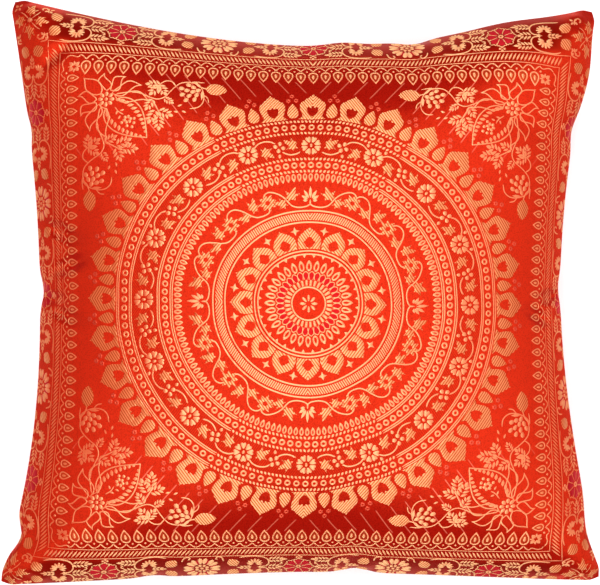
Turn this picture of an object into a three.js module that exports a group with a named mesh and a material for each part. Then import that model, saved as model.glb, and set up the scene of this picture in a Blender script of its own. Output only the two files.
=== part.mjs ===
// A square knife-edge cushion cover, filled, lying on its back.
//
// The front faces up (+Z). The top edge of the front lies towards +Y and its right edge towards +X.
// Two square panels are sewn together all round. The filling lifts both of them, so the sides draw in
// between the corners, the corners stay out as ears, and the back is flat where it rests.

import * as THREE from 'three';

// Driving dimensions, in millimetres.
const CROWN = 72; // rise of the front above the seam
const SEAM_HEIGHT = 66; // height of the seam above the surface that the cushion rests on
const BELLY = 75; // how far the back would hang below the seam if nothing held it up
const FULLNESS = 0.46; // 0.5 is an elliptical side, less is a fuller one
const EAR_DROOP = 14; // how much lower the seam lies at the corners than at the middle of a side
const STEPS = 44; // facets along each side
const EDGE_CROWDING = 0.22; // 0 spaces the facets evenly, more draws them towards the seams

// The corners, from the middle of the cover. blunt is how far the turned tip falls short of a sharp corner,
// and round is the radius that the tip is rounded to.
const CORNERS = {
  bottomLeft: { x: -200, y: -194.5, blunt: 2, round: 7 },
  bottomRight: { x: 199, y: -191.5, blunt: 2, round: 7 },
  topLeft: { x: -192, y: 193.5, blunt: 2, round: 11 },
  topRight: { x: 195.7, y: 187, blunt: 2, round: 11 },
};

// The seams. drawIn is how far the middle of a seam lies inside the line between its corners.
// bow shapes it: 1 gives two straight runs, 2 a round bow. lean draws it in more towards its last corner,
// or, below zero, towards its first. inward points to the middle of the cover.
const SEAMS = {
  left: { from: 'bottomLeft', to: 'topLeft', inward: [1, 0], drawIn: 25.8, bow: 2.2, lean: -0.25 },
  right: { from: 'bottomRight', to: 'topRight', inward: [-1, 0], drawIn: 28, bow: 1.8, lean: 0 },
  bottom: { from: 'bottomLeft', to: 'bottomRight', inward: [0, 1], drawIn: 9.1, bow: 1.5, lean: 0 },
  top: { from: 'topLeft', to: 'topRight', inward: [0, -1], drawIn: 31, bow: 1.8, lean: 0.05 },
};

// Puckers in the seams, in from or out of the bow. at runs from -1 at the seam's first corner to 1 at its last.
// A negative depth bulges outwards. width is the half width of the pucker.
const PUCKERS = [
  { seam: 'left', at: -0.835, depth: 7.2, width: 10.5 },
  { seam: 'left', at: 0.0, depth: 2.5, width: 10 },
  { seam: 'left', at: 0.54, depth: 1.5, width: 9 },
  { seam: 'right', at: -0.84, depth: 4.2, width: 20 },
  { seam: 'right', at: 0.02, depth: 1.5, width: 10 },
  { seam: 'right', at: 0.56, depth: 2, width: 10 },
  { seam: 'right', at: 0.76, depth: -4, width: 26 },
  { seam: 'bottom', at: -0.48, depth: 1.5, width: 10 },
  { seam: 'bottom', at: 0.18, depth: 3, width: 11 },
  { seam: 'top', at: 0.13, depth: -2, width: 14 },
  { seam: 'top', at: 0.37, depth: 2.5, width: 11 },
  { seam: 'top', at: 0.68, depth: -3, width: 30 },
];

// Soft creases in the front. x and y give the middle, angle the run from +X, in degrees.
const CREASES = [
  { x: -150, y: 30, angle: 62, length: 30, width: 9, depth: 3 },
  { x: -172, y: -158, angle: 38, length: 24, width: 10, depth: 5 },
  { x: 150, y: 108, angle: 150, length: 30, width: 10, depth: 2.5 },
  { x: 70, y: 148, angle: 100, length: 22, width: 9, depth: 2.5 },
  { x: 36, y: -168, angle: 80, length: 20, width: 9, depth: 2.5 },
];

const halfSpan = (seam) => {
  const { from, to } = SEAMS[seam];
  return Math.hypot(CORNERS[to].x - CORNERS[from].x, CORNERS[to].y - CORNERS[from].y) / 2;
};

const mix = (a, b, t) => a + (b - a) * t;

// The point of a seam at s, which runs from -1 to 1 between its corners.
function seamPoint(seam, s) {
  const { from, to, inward, drawIn, bow, lean } = SEAMS[seam];
  let pull = drawIn * (1 - Math.abs(s) ** bow) * (1 + lean * s);
  for (const pucker of PUCKERS) {
    if (pucker.seam === seam) {
      const away = ((s - pucker.at) * halfSpan(seam)) / pucker.width;
      pull += pucker.depth * Math.exp(-away * away) * (1 - s ** 8);
    }
  }
  const t = (s + 1) / 2;
  return new THREE.Vector2(
    mix(CORNERS[from].x, CORNERS[to].x, t) + inward[0] * pull,
    mix(CORNERS[from].y, CORNERS[to].y, t) + inward[1] * pull,
  );
}

// Where the panel's point (u, v) lies, seen from above: a patch stretched between the four seams.
function panelPoint(u, v) {
  const right = (u + 1) / 2;
  const up = (v + 1) / 2;
  const point = new THREE.Vector2();
  point.addScaledVector(seamPoint('left', v), 1 - right);
  point.addScaledVector(seamPoint('right', v), right);
  point.addScaledVector(seamPoint('bottom', u), 1 - up);
  point.addScaledVector(seamPoint('top', u), up);
  const shares = {
    bottomLeft: (1 - right) * (1 - up),
    bottomRight: right * (1 - up),
    topLeft: (1 - right) * up,
    topRight: right * up,
  };
  for (const [name, share] of Object.entries(shares)) {
    const { x, y, blunt, round } = CORNERS[name];
    const corner = new THREE.Vector2(x, y);
    point.addScaledVector(corner, -share);
    point.addScaledVector(corner.clone().normalize(), -blunt * share ** 16);
    point.add(roundedTip(u * Math.sign(x), v * Math.sign(y), corner, round));
  }
  return point;
}

// How far a point moves so that a square corner turns into a quarter circle. u and v are 1 at the corner.
function roundedTip(u, v, corner, radius) {
  const acrossLeft = radius - (1 - u) * Math.abs(corner.x);
  const upLeft = radius - (1 - v) * Math.abs(corner.y);
  if (acrossLeft <= 0 || upLeft <= 0) {
    return new THREE.Vector2();
  }
  const shrink = Math.max(acrossLeft, upLeft) / Math.hypot(acrossLeft, upLeft) - 1;
  return new THREE.Vector2(acrossLeft * shrink * Math.sign(corner.x), upLeft * shrink * Math.sign(corner.y));
}

// The sum of the creases at a point of the front, as a depth.
function creaseDepth(point) {
  let depth = 0;
  for (const crease of CREASES) {
    const angle = THREE.MathUtils.degToRad(crease.angle);
    const offset = new THREE.Vector2(point.x - crease.x, point.y - crease.y);
    const along = (offset.x * Math.cos(angle) + offset.y * Math.sin(angle)) / crease.length;
    const across = (offset.y * Math.cos(angle) - offset.x * Math.sin(angle)) / crease.width;
    depth += crease.depth * Math.exp(-along * along - across * across);
  }
  return depth;
}

// How full the cover is at (u, v): 1 in the middle and 0 at the seams.
const fill = (u, v) => Math.max(0, (1 - u * u) * (1 - v * v)) ** FULLNESS;

const seamHeight = (u, v) => SEAM_HEIGHT - EAR_DROOP * (u * v) ** 4;

function frontHeight(u, v, point) {
  const full = fill(u, v);
  return seamHeight(u, v) + CROWN * full - creaseDepth(point) * Math.min(1, 2 * full);
}

const backHeight = (u, v) => Math.max(0, seamHeight(u, v) - BELLY * fill(u, v));

// Facet lines crowd towards the seams, where the sides turn over.
function gridValue(index) {
  const s = (2 * index) / STEPS - 1;
  return s * (1 + EDGE_CROWDING * (1 - s * s));
}

function cushionGeometry() {
  const vertices = [];
  const faces = [];
  const front = [];
  const back = [];
  for (let j = 0; j <= STEPS; j += 1) {
    for (let i = 0; i <= STEPS; i += 1) {
      const u = gridValue(i);
      const v = gridValue(j);
      const point = panelPoint(u, v);
      const onSeam = i === 0 || j === 0 || i === STEPS || j === STEPS;
      front.push(vertices.length / 3);
      vertices.push(point.x, point.y, onSeam ? seamHeight(u, v) : frontHeight(u, v, point));
      if (onSeam) {
        back.push(front[front.length - 1]);
      } else {
        back.push(vertices.length / 3);
        vertices.push(point.x, point.y, backHeight(u, v));
      }
    }
  }
  for (let j = 0; j < STEPS; j += 1) {
    for (let i = 0; i < STEPS; i += 1) {
      const corner = j * (STEPS + 1) + i;
      const ring = [corner, corner + 1, corner + STEPS + 2, corner + STEPS + 1];
      // The cut across each square runs towards the middle of the cover, so no triangle lies in the seam.
      const turned = i < STEPS / 2 === j < STEPS / 2 ? 0 : 1;
      const [a, b, c, d] = ring.map((_, k) => ring[(k + turned) % ring.length]);
      faces.push(front[a], front[b], front[c], front[a], front[c], front[d]);
      faces.push(back[a], back[c], back[b], back[a], back[d], back[c]);
    }
  }
  const geometry = new THREE.BufferGeometry();
  geometry.setAttribute('position', new THREE.Float32BufferAttribute(vertices, 3));
  geometry.setIndex(faces);
  return geometry;
}

// The origin is under the middle of the cushion's box, on the surface that it rests on.
function centreOnFloor(geometry) {
  geometry.computeBoundingBox();
  const { min, max } = geometry.boundingBox;
  geometry.translate(-(min.x + max.x) / 2, -(min.y + max.y) / 2, -min.z);
  geometry.computeVertexNormals();
  return geometry;
}

const brocade = new THREE.MeshStandardMaterial({ color: 0xd23a1c, roughness: 0.5, metalness: 0.1 });

const cushion = new THREE.Mesh(centreOnFloor(cushionGeometry()), brocade);
cushion.name = 'cushion';

const cover = new THREE.Group();
cover.add(cushion);

export default cover;
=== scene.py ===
"""A filled cushion cover in red and gold brocade, lying on its back under soft studio light."""

from __future__ import annotations

import logging
import math
from collections.abc import Sequence
from dataclasses import dataclass, field
from enum import Enum

import bmesh
import bpy
import numpy as np
from bpy.types import Material, Mesh, Node, NodeSocket, NodeTree, Object, ShapeKey
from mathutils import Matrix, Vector


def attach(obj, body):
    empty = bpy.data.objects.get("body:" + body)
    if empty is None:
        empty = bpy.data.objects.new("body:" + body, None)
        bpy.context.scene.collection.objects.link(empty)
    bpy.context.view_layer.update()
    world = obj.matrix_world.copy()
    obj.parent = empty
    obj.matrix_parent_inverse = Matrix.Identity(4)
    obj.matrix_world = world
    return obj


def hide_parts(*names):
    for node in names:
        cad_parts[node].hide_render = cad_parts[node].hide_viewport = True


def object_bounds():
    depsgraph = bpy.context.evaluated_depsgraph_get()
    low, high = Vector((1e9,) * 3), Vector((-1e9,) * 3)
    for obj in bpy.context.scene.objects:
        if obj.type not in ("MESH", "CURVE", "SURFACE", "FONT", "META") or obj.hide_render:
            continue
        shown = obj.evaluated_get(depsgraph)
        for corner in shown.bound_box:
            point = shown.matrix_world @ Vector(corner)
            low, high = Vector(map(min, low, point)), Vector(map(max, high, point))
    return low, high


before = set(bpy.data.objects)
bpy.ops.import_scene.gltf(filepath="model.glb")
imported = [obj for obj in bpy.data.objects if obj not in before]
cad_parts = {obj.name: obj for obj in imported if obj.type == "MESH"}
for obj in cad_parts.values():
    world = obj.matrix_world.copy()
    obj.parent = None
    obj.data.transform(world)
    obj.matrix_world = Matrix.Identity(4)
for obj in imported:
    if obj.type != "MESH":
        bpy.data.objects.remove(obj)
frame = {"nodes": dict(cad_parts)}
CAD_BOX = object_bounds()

LOG = logging.getLogger("cushion_cover")

MM = 0.001
CUT = 0.406  # side of each square panel as cut
BAKE_MAP = "OFBake"  # the name of the map that every panel and woven piece keeps

Array = np.ndarray
Point = tuple[float, float]
Rail = list[Point]
Colour = tuple[float, float, float]


# ---- Node trees ----


class Signal:
    """A number inside a node tree, so that node sums read as plain arithmetic."""

    def __init__(self, graph: Graph, socket: NodeSocket) -> None:
        """Wrap one output socket.

        Args:
            graph: The node tree's builder.
            socket: The output that carries the number.
        """
        self.graph = graph
        self.socket = socket

    def math(self, operation: str, *others: Signal | float) -> Signal:
        """Put this number through one Math node.

        Args:
            operation: The Math node's operation.
            *others: The second and third numbers, where the operation takes them.

        Returns:
            The result.
        """
        return self.graph.math(operation, self, *others)

    def __add__(self, other: Signal | float) -> Signal:
        """Add."""
        return self.math("ADD", other)

    def __radd__(self, other: float) -> Signal:
        """Add, from the right."""
        return self.graph.math("ADD", other, self)

    def __sub__(self, other: Signal | float) -> Signal:
        """Subtract."""
        return self.math("SUBTRACT", other)

    def __rsub__(self, other: float) -> Signal:
        """Subtract from a number."""
        return self.graph.math("SUBTRACT", other, self)

    def __mul__(self, other: Signal | float) -> Signal:
        """Multiply."""
        return self.math("MULTIPLY", other)

    def __rmul__(self, other: float) -> Signal:
        """Multiply, from the right."""
        return self.graph.math("MULTIPLY", other, self)

    def __truediv__(self, other: Signal | float) -> Signal:
        """Divide."""
        return self.math("DIVIDE", other)

    def __abs__(self) -> Signal:
        """Size without sign."""
        return self.math("ABSOLUTE")

    def step(self, low: float, high: float) -> Signal:
        """Rise smoothly from 0 to 1.

        Args:
            low: Where the rise starts.
            high: Where the rise ends; it may be lower than the start, for a fall.

        Returns:
            The rise, held at 0 and 1 outside it.
        """
        node = self.graph.add(
            "ShaderNodeMapRange",
            {"interpolation_type": "SMOOTHSTEP"},
            {"Value": self, "From Min": low, "From Max": high},
        )
        return Signal(self.graph, node.outputs["Result"])

    def beyond(self, edge: float, soft: float) -> Signal:
        """Rise from 0 to 1 at an edge, over a soft width on both sides of it."""
        return self.step(edge - soft, edge + soft)

    def within(self, edge: float, soft: float) -> Signal:
        """Fall from 1 to 0 at an edge, over a soft width on both sides of it."""
        return self.step(edge + soft, edge - soft)

    def wave(self, pitch: float) -> Signal:
        """Swing between -1 and 1, once in each pitch."""
        return (self * (2 * math.pi / pitch)).math("SINE")


class Graph:
    """Builds the nodes of one tree."""

    def __init__(self, tree: NodeTree) -> None:
        """Start on an empty tree.

        Args:
            tree: The tree to fill.
        """
        self.tree = tree
        tree.nodes.clear()

    def add(
        self,
        kind: str,
        settings: dict[str, object] | None = None,
        sockets: dict[str | int, object] | None = None,
    ) -> Node:
        """Add one node.

        Args:
            kind: The node's type.
            settings: The node's own settings, set before its sockets.
            sockets: Values or links for its inputs, by name or place.

        Returns:
            The node.
        """
        node = self.tree.nodes.new(kind)
        for name, value in (settings or {}).items():
            setattr(node, name, value)
        for key, value in (sockets or {}).items():
            if isinstance(value, Signal):
                value = value.socket
            if isinstance(value, NodeSocket):
                self.tree.links.new(value, node.inputs[key])
            else:
                node.inputs[key].default_value = value
        return node

    def math(self, operation: str, *values: Signal | float) -> Signal:
        """Add one Math node.

        Args:
            operation: What it works out.
            *values: Its inputs in order.

        Returns:
            The result.
        """
        node = self.add("ShaderNodeMath", {"operation": operation}, dict(enumerate(values)))
        return Signal(self, node.outputs[0])

    def blend(self, amount: Signal | float, first: object, second: object) -> NodeSocket:
        """Mix two colours.

        Args:
            amount: 0 for the first, 1 for the second.
            first: A colour or a colour socket.
            second: A colour or a colour socket.

        Returns:
            The mixed colour.
        """
        places = {0: amount, 6: first, 7: second}
        for place in (6, 7):
            if isinstance(places[place], tuple):
                places[place] = (*places[place], 1.0)
        node = self.add("ShaderNodeMix", {"data_type": "RGBA"}, places)
        return node.outputs[2]


def flat_axes(graph: Graph) -> tuple[Signal, Signal]:
    """Read where a point lies on the cut panel.

    Args:
        graph: The material's tree.

    Returns:
        Distance right and up of the panel's middle, in metres.
    """
    uv = graph.add("ShaderNodeUVMap", {"uv_map": BAKE_MAP})
    split = graph.add("ShaderNodeSeparateXYZ", None, {0: uv.outputs[0]})
    across, up = (Signal(graph, split.outputs[k]) for k in (0, 1))
    return (across - 0.5) * CUT, (up - 0.5) * CUT


def grain(graph: Graph, scale: float) -> Signal:
    """Read a fine unevenness that stays fixed to the cloth.

    Args:
        graph: The material's tree.
        scale: Grains in a metre.

    Returns:
        A number round 0.5.
    """
    place = graph.add("ShaderNodeTexCoord").outputs["Object"]
    sockets = {"Vector": place, "Scale": scale, "Detail": 1.0}
    noise = graph.add("ShaderNodeTexNoise", {"noise_dimensions": "3D"}, sockets)
    return Signal(graph, noise.outputs[0])


# ---- Finishes ----


TWILL_PITCH = 0.0011  # from ridge to ridge of the twill, along the weft
TWILL_SLOPE = 0.6  # lean of its ridges
TWILL_SHARE = 0.5  # height of the ridges against the grain of the yarn
YARN_GRAIN = 900.0  # grains in a metre
SPECK_GRAIN = 1100.0
RELIEF_STRENGTH = 0.25
RELIEF_DEPTH = 0.0002  # in metres
# SHADE is also the darkest level of the painted shade along the top and the bottom of the ground.
SHADE = 0.45  # share of the colour that is left where the weave is darkest
LINE_SHARE = 0.95  # strength of the fine light lines of the ground


class Yarn(Enum):
    """Which way the shining threads of a weave run on the panel."""

    WARP = 0.0  # up and down the panel
    WEFT = 0.25  # across the panel


@dataclass(frozen=True)
class Satin:
    """A weave of matt body colour with shining threads on top.

    Attributes:
        name: The material's name.
        body: Colour of the weave seen across its threads.
        gleam: Colour of the shine along the threads.
        yarn: Which way the shining threads run.
        shine: Share of the shine, from 0 to 1.
        roughness: Spread of the shine.
        stretch: How much wider the shine is across the threads than along them.
    """

    name: str
    body: Colour
    gleam: Colour
    yarn: Yarn
    shine: float = 0.5
    roughness: float = 0.45
    stretch: float = 0.8

    def material(self) -> Material:
        """Build the material.

        Returns:
            The material.
        """
        made = bpy.data.materials.new(self.name)
        made.use_nodes = True
        graph = Graph(made.node_tree)
        body, gleam = self.colours(graph)
        normal = self.relief(graph)
        matt = graph.add(
            "ShaderNodeBsdfPrincipled",
            None,
            {"Base Color": body, "Roughness": 0.9, "Specular IOR Level": 0.0, "Normal": normal},
        )
        bright = graph.add(
            "ShaderNodeBsdfPrincipled",
            None,
            {
                "Base Color": gleam,
                "Metallic": 1.0,
                "Roughness": self.roughness,
                "Anisotropic": self.stretch,
                "Anisotropic Rotation": self.yarn.value,
                "Normal": normal,
            },
        )
        sockets = {0: self.shine, 1: matt.outputs[0], 2: bright.outputs[0]}
        mix = graph.add("ShaderNodeMixShader", None, sockets)
        graph.add("ShaderNodeOutputMaterial", None, {"Surface": mix.outputs[0]})
        return made

    def colours(self, graph: Graph) -> tuple[object, object]:
        """Give the colours of the body and of the shine.

        Args:
            graph: The material's tree.

        Returns:
            Two colours or colour sockets.
        """
        return (*self.body, 1.0), (*self.gleam, 1.0)

    def relief(self, graph: Graph) -> NodeSocket:
        """Give the fine twill of the weave.

        Args:
            graph: The material's tree.

        Returns:
            The normal.
        """
        x, y = flat_axes(graph)
        height = (x + y * TWILL_SLOPE).wave(TWILL_PITCH) * TWILL_SHARE + grain(graph, YARN_GRAIN)
        sockets = {"Strength": RELIEF_STRENGTH, "Distance": RELIEF_DEPTH, "Height": height}
        return graph.add("ShaderNodeBump", None, sockets).outputs["Normal"]


@dataclass(frozen=True)
class StripedThread(Satin):
    """Weft floats in two colours that lie in slanting stripes, mirrored about the design's axes.

    Attributes:
        body_between: Matt colour of every other stripe.
        gleam_between: Shine of every other stripe.
        pitch: Distance across from stripe to stripe.
        slant: Steepness of the stripes; below zero they lean the other way.
        fold: Half width of the middle strip whose stripes run the other way.
    """

    body_between: Colour = (0.55, 0.09, 0.02)
    gleam_between: Colour = (0.65, 0.16, 0.04)
    pitch: float = 0.00195
    slant: float = 1.43
    fold: float = 0.009

    def colours(self, graph: Graph) -> tuple[object, object]:
        """Give the striped colours of the body and of the shine.

        Args:
            graph: The material's tree.

        Returns:
            Two colour sockets.
        """
        x, y = Layout().read(graph)
        run = abs(abs(x) - self.fold) * self.slant + abs(y)
        stripe = run.wave(self.pitch * abs(self.slant)).beyond(-0.1, 0.4)
        return (
            graph.blend(stripe, self.body_between, self.body),
            graph.blend(stripe, self.gleam_between, self.gleam),
        )


@dataclass(frozen=True)
class BrocadeGround(Satin):
    """The front's satin ground: fine light lines outside the rings, dark hatching under the outer vine,
    painted shade top and bottom.

    Attributes:
        line: Colour of the fine lines.
        hatch: How much darker the hatching is, from 0 to 1.
        worn: How much darker the specks of the weave are, from 0 to 1.
        edge: How much darker the painted shade makes the top and the bottom, from 0 to 1.
        line_pitch: Distance up from line to line.
        line_slope: Rise of the lines for each step outwards.
        line_start: Height at which the outermost line would start.
        rings: Radius that the lines stay outside of.
        opening: Half width and half height of the field inside the border of drops.
        sprays: How far out and up the corner sprays begin, which are free of lines.
        lines_up: How far up the lines begin.
        hatched: Inner and outer radius of the hatching.
        hatch_pitch: Distance up from hatch to hatch.
        hatch_slope: Rise of the hatching for each step outwards.
        painted_shade_strip: Half width of the painted shade along the top and the bottom, and how far up it
            begins.
    """

    line: Colour = (0.85, 0.16, 0.09)
    hatch: float = 0.5
    worn: float = 0.4
    # painted shade: the strength of the darkening painted along the top and the bottom of the ground
    edge: float = 0.75
    line_pitch: float = 0.0165
    line_slope: float = 1.33
    line_start: float = 0.160
    rings: float = 0.150
    opening: Point = (0.1565, 0.1595)
    sprays: float = 0.111
    lines_up: float = 0.105
    hatched: Point = (0.099, 0.116)
    hatch_pitch: float = 0.0024
    hatch_slope: float = 1.5
    painted_shade_strip: Point = (0.176, 0.186)

    def colours(self, graph: Graph) -> tuple[object, object]:
        """Give the colours of the body and of the shine, with the lines, the hatching and the painted shade.

        Args:
            graph: The material's tree.

        Returns:
            Two colour sockets.
        """
        x, y = Layout().read(graph)
        across, up = abs(x), abs(y)
        radius = (x * x + y * y).math("SQRT")
        line = self._lines(across, up, radius)
        hatch = (up - across * self.hatch_slope).wave(self.hatch_pitch).beyond(0.15, 0.45) * self.hatch
        hatch = hatch * radius.beyond(self.hatched[0], 0.0005) * radius.within(self.hatched[1], 0.0005)
        worn = grain(graph, SPECK_GRAIN).beyond(0.575, 0.125) * self.worn
        # painted shade: the top and the bottom strips of the ground are darkened, standing in for the cloth
        # turning away from the light
        edge = up.beyond(self.painted_shade_strip[1], 0.004) * across.within(self.painted_shade_strip[0], 0.010) * self.edge
        shade = hatch.math("MAXIMUM", worn).math("MAXIMUM", edge)
        body = graph.blend(shade, self.body, tuple(SHADE * c for c in self.body))
        gleam = graph.blend(shade, self.gleam, tuple(SHADE * c for c in self.gleam))
        return graph.blend(line, body, self.line), graph.blend(line, gleam, self.line)

    def _lines(self, across: Signal, up: Signal, radius: Signal) -> Signal:
        """Draw the fine light lines that fan out above and below the rings.

        Args:
            across: Distance from the upright axis.
            up: Distance from the level axis.
            radius: Distance from the middle of the rings.

        Returns:
            Their strength.
        """
        turn = (across * self.line_slope - up + self.line_start) / self.line_pitch
        line = abs((turn + 0.5).math("FRACT") - 0.5).within(0.036, 0.014) * turn.beyond(0.5, 0.1)
        wide, high = self.opening
        line = line * radius.beyond(self.rings, 0.001) * across.within(wide, 0.0005) * up.within(high, 0.0005)
        in_corner = across.beyond(self.sprays, 0.001) * up.beyond(self.sprays, 0.001)
        return line * (1 - in_corner) * up.beyond(self.lines_up, 0.015) * LINE_SHARE


# ---- The filled cover ----


TIP_HOLD = 16  # powers that keep an effect close to a tip, a seam or the ends of a seam
SEAM_HOLD = 40
END_HOLD = 8
CREASE_HOLD = 24
EAR_HOLD = 4


@dataclass(frozen=True)
class Corner:
    """One corner of the cover, from the middle of the cover, in metres.

    Attributes:
        x: Where the sharp corner would be.
        Tell the frame which body a piece belongs to.
        blunt: How far the turned tip falls short of it.
        radius: Radius that the tip is rounded to.
    """

    x: float
    y: float
    blunt: float
    radius: float

    def pull(self, across: Array, up: Array, share: Array) -> Array:
        """Work out how far the turned and rounded tip moves each point.

        Args:
            across: Places from -1 at the left seam to 1 at the right one.
            up: Places from -1 at the bottom seam to 1 at the top one.
            share: How much each point belongs to this corner, 1 at the tip.

        Returns:
            The step in plan of each point.
        """
        place = np.array((self.x, self.y))
        side = np.sign(place)
        turned = -self.blunt * share**TIP_HOLD * place / np.linalg.norm(place)
        left = self.radius - (1 - np.c_[across, up] * side) * np.abs(place)
        inside = np.maximum(left, 0)
        reach = np.maximum(np.hypot(*inside.T), 1e-9)
        shrink = np.where(inside.min(1) > 0, inside.max(1) / reach - 1, 0)
        return turned + inside * shrink[:, None] * side


@dataclass(frozen=True)
class Side:
    """One seam between two corners.

    Attributes:
        start: The corner it starts at.
        end: The corner it ends at.
        inward: Direction that the filling pulls it in.
        draw_in: How far its middle is pulled in.
        bow: How even the pull is along the seam.
        lean: How far the pull leans to the end corner.
        puckers: Place along the seam, depth and half width of each small dent or swell.
    """

    start: Corner
    end: Corner
    inward: Point
    draw_in: float
    bow: float
    lean: float
    puckers: tuple[tuple[float, float, float], ...]

    def reach(self, along: Array, near: Array) -> Array:
        """Find where the seam carries the cloth beside it.

        Args:
            along: Places from -1 at the start to 1 at the end.
            near: 1 on the seam, falling to 0 at the other side of the panel.

        Returns:
            The seam's share of each point in plan. The puckers fade a short way in from the seam.
        """
        first = np.array((self.start.x, self.start.y))
        last = np.array((self.end.x, self.end.y))
        half_span = np.linalg.norm(last - first) / 2
        pull = near * self.draw_in * (1 - np.abs(along) ** self.bow) * (1 + self.lean * along)
        for place, depth, width in self.puckers:
            bell = np.exp(-(((along - place) * half_span / width) ** 2))
            pull = pull + depth * bell * (1 - along**END_HOLD) * near**SEAM_HOLD
        share = ((along + 1) / 2)[:, None]
        return (first * (1 - share) + last * share) * near[:, None] + pull[:, None] * np.array(self.inward)


BOTTOM_LEFT = Corner(-0.2, -0.1945, 0.002, 0.007)
BOTTOM_RIGHT = Corner(0.199, -0.1915, 0.002, 0.007)
TOP_LEFT = Corner(-0.192, 0.1935, 0.002, 0.011)
TOP_RIGHT = Corner(0.1957, 0.187, 0.002, 0.011)

LEFT = Side(
    BOTTOM_LEFT, TOP_LEFT, (1, 0), 0.0258, 2.2, -0.25,
    ((-0.835, 0.0072, 0.0105), (0.0, 0.0025, 0.010), (0.54, 0.0015, 0.009)),
)
RIGHT = Side(
    BOTTOM_RIGHT, TOP_RIGHT, (-1, 0), 0.028, 1.8, 0.0,
    ((-0.84, 0.0042, 0.020), (0.02, 0.0015, 0.010), (0.56, 0.002, 0.010), (0.76, -0.004, 0.026)),
)
BOTTOM = Side(
    BOTTOM_LEFT, BOTTOM_RIGHT, (0, 1), 0.0091, 1.5, 0.0,
    ((-0.48, 0.0015, 0.010), (0.18, 0.003, 0.011)),
)
TOP = Side(
    TOP_LEFT, TOP_RIGHT, (0, -1), 0.031, 1.8, 0.05,
    ((0.13, -0.002, 0.014), (0.37, 0.0025, 0.011), (0.68, -0.003, 0.030)),
)


@dataclass(frozen=True)
class Dent:
    """A soft crease pressed into the filled cover.

    Attributes:
        x: Its middle, to the right of the middle of the cover.
        y: Its middle, above the middle of the cover.
        angle: Its direction, anticlockwise from level, in degrees.
        length: Half length.
        width: Half width.
        depth: Depth at its middle.
    """

    x: float
    y: float
    angle: float
    length: float
    width: float
    depth: float

    def press(self, grid: Array) -> Array:
        """Work out how deep the crease is under each point.

        Args:
            grid: Points of a panel.

        Returns:
            The depth at each point.
        """
        turn = math.radians(self.angle)
        right, up = grid[..., 0] - self.x, grid[..., 1] - self.y
        along = right * math.cos(turn) + up * math.sin(turn)
        across = up * math.cos(turn) - right * math.sin(turn)
        return self.depth * np.exp(-((along / self.length) ** 2) - (across / self.width) ** 2)


def refine(rows: Array, parts: int) -> Array:
    """Put smooth steps between rows of points.

    Args:
        rows: Points, with the rows along the first axis.
        parts: Steps put in each gap.

    Returns:
        The finer rows.
    """
    padded = np.concatenate([2 * rows[:1] - rows[1:2], rows, 2 * rows[-1:] - rows[-2:-1]])
    gaps = len(rows) - 1
    fine = np.empty((gaps * parts + 1, *rows.shape[1:]))
    for part in range(parts):
        t = part / parts
        weights = (
            (-t + 2 * t**2 - t**3) / 2,
            (2 - 5 * t**2 + 3 * t**3) / 2,
            (t + 4 * t**2 - 3 * t**3) / 2,
            (-(t**2) + t**3) / 2,
        )
        fine[part:-1:parts] = sum(w * padded[k : k + gaps] for k, w in enumerate(weights))
    fine[-1] = rows[-1]
    return fine


def grid_faces(index: Array, outward_up: bool) -> Array:
    """Join a grid of point numbers into faces.

    Args:
        index: The number of the point at each place.
        outward_up: True where the faces look up.

    Returns:
        Four point numbers for each face.
    """
    a, b, c, d = index[:-1, :-1], index[:-1, 1:], index[1:, 1:], index[1:, :-1]
    order = (a, b, c, d) if outward_up else (a, d, c, b)
    return np.stack(order, -1).reshape(-1, 4)


def make_object(name: str, points: object, faces: object) -> Object:
    """Make a mesh object at the origin.

    Args:
        name: The object's name.
        points: Its points.
        faces: Point numbers of its faces.

    Returns:
        The object, in the scene, with smooth shading.
    """
    mesh = bpy.data.meshes.new(name)
    mesh.from_pydata([tuple(p) for p in points], [], [tuple(int(i) for i in f) for f in faces])
    mesh.polygons.foreach_set("use_smooth", [True] * len(mesh.polygons))
    piece = bpy.data.objects.new(name, mesh)
    bpy.context.scene.collection.objects.link(piece)
    return piece


def lay_threads(mesh: Mesh) -> None:
    """Fix the direction that the shine is measured from, so that it runs straight across the panel.

    Args:
        mesh: The mesh of a panel or a woven piece.
    """
    mesh.use_auto_texspace = False
    mesh.texspace_location = (0.0, -1000.0, 0.0)
    mesh.texspace_size = (1.0, 1.0, 1.0)


CLOTH = {
    "quality": 6,
    "mass": 0.3,
    "tension_stiffness": 30,
    "compression_stiffness": 30,
    "shear_stiffness": 8,
    "bending_stiffness": 0.1,
    "tension_damping": 10,
    "compression_damping": 10,
    "shear_damping": 10,
    "air_damping": 3,
    "use_pressure": True,
    "vertex_group_mass": "seam",
    "pin_stiffness": 1,
}


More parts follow.
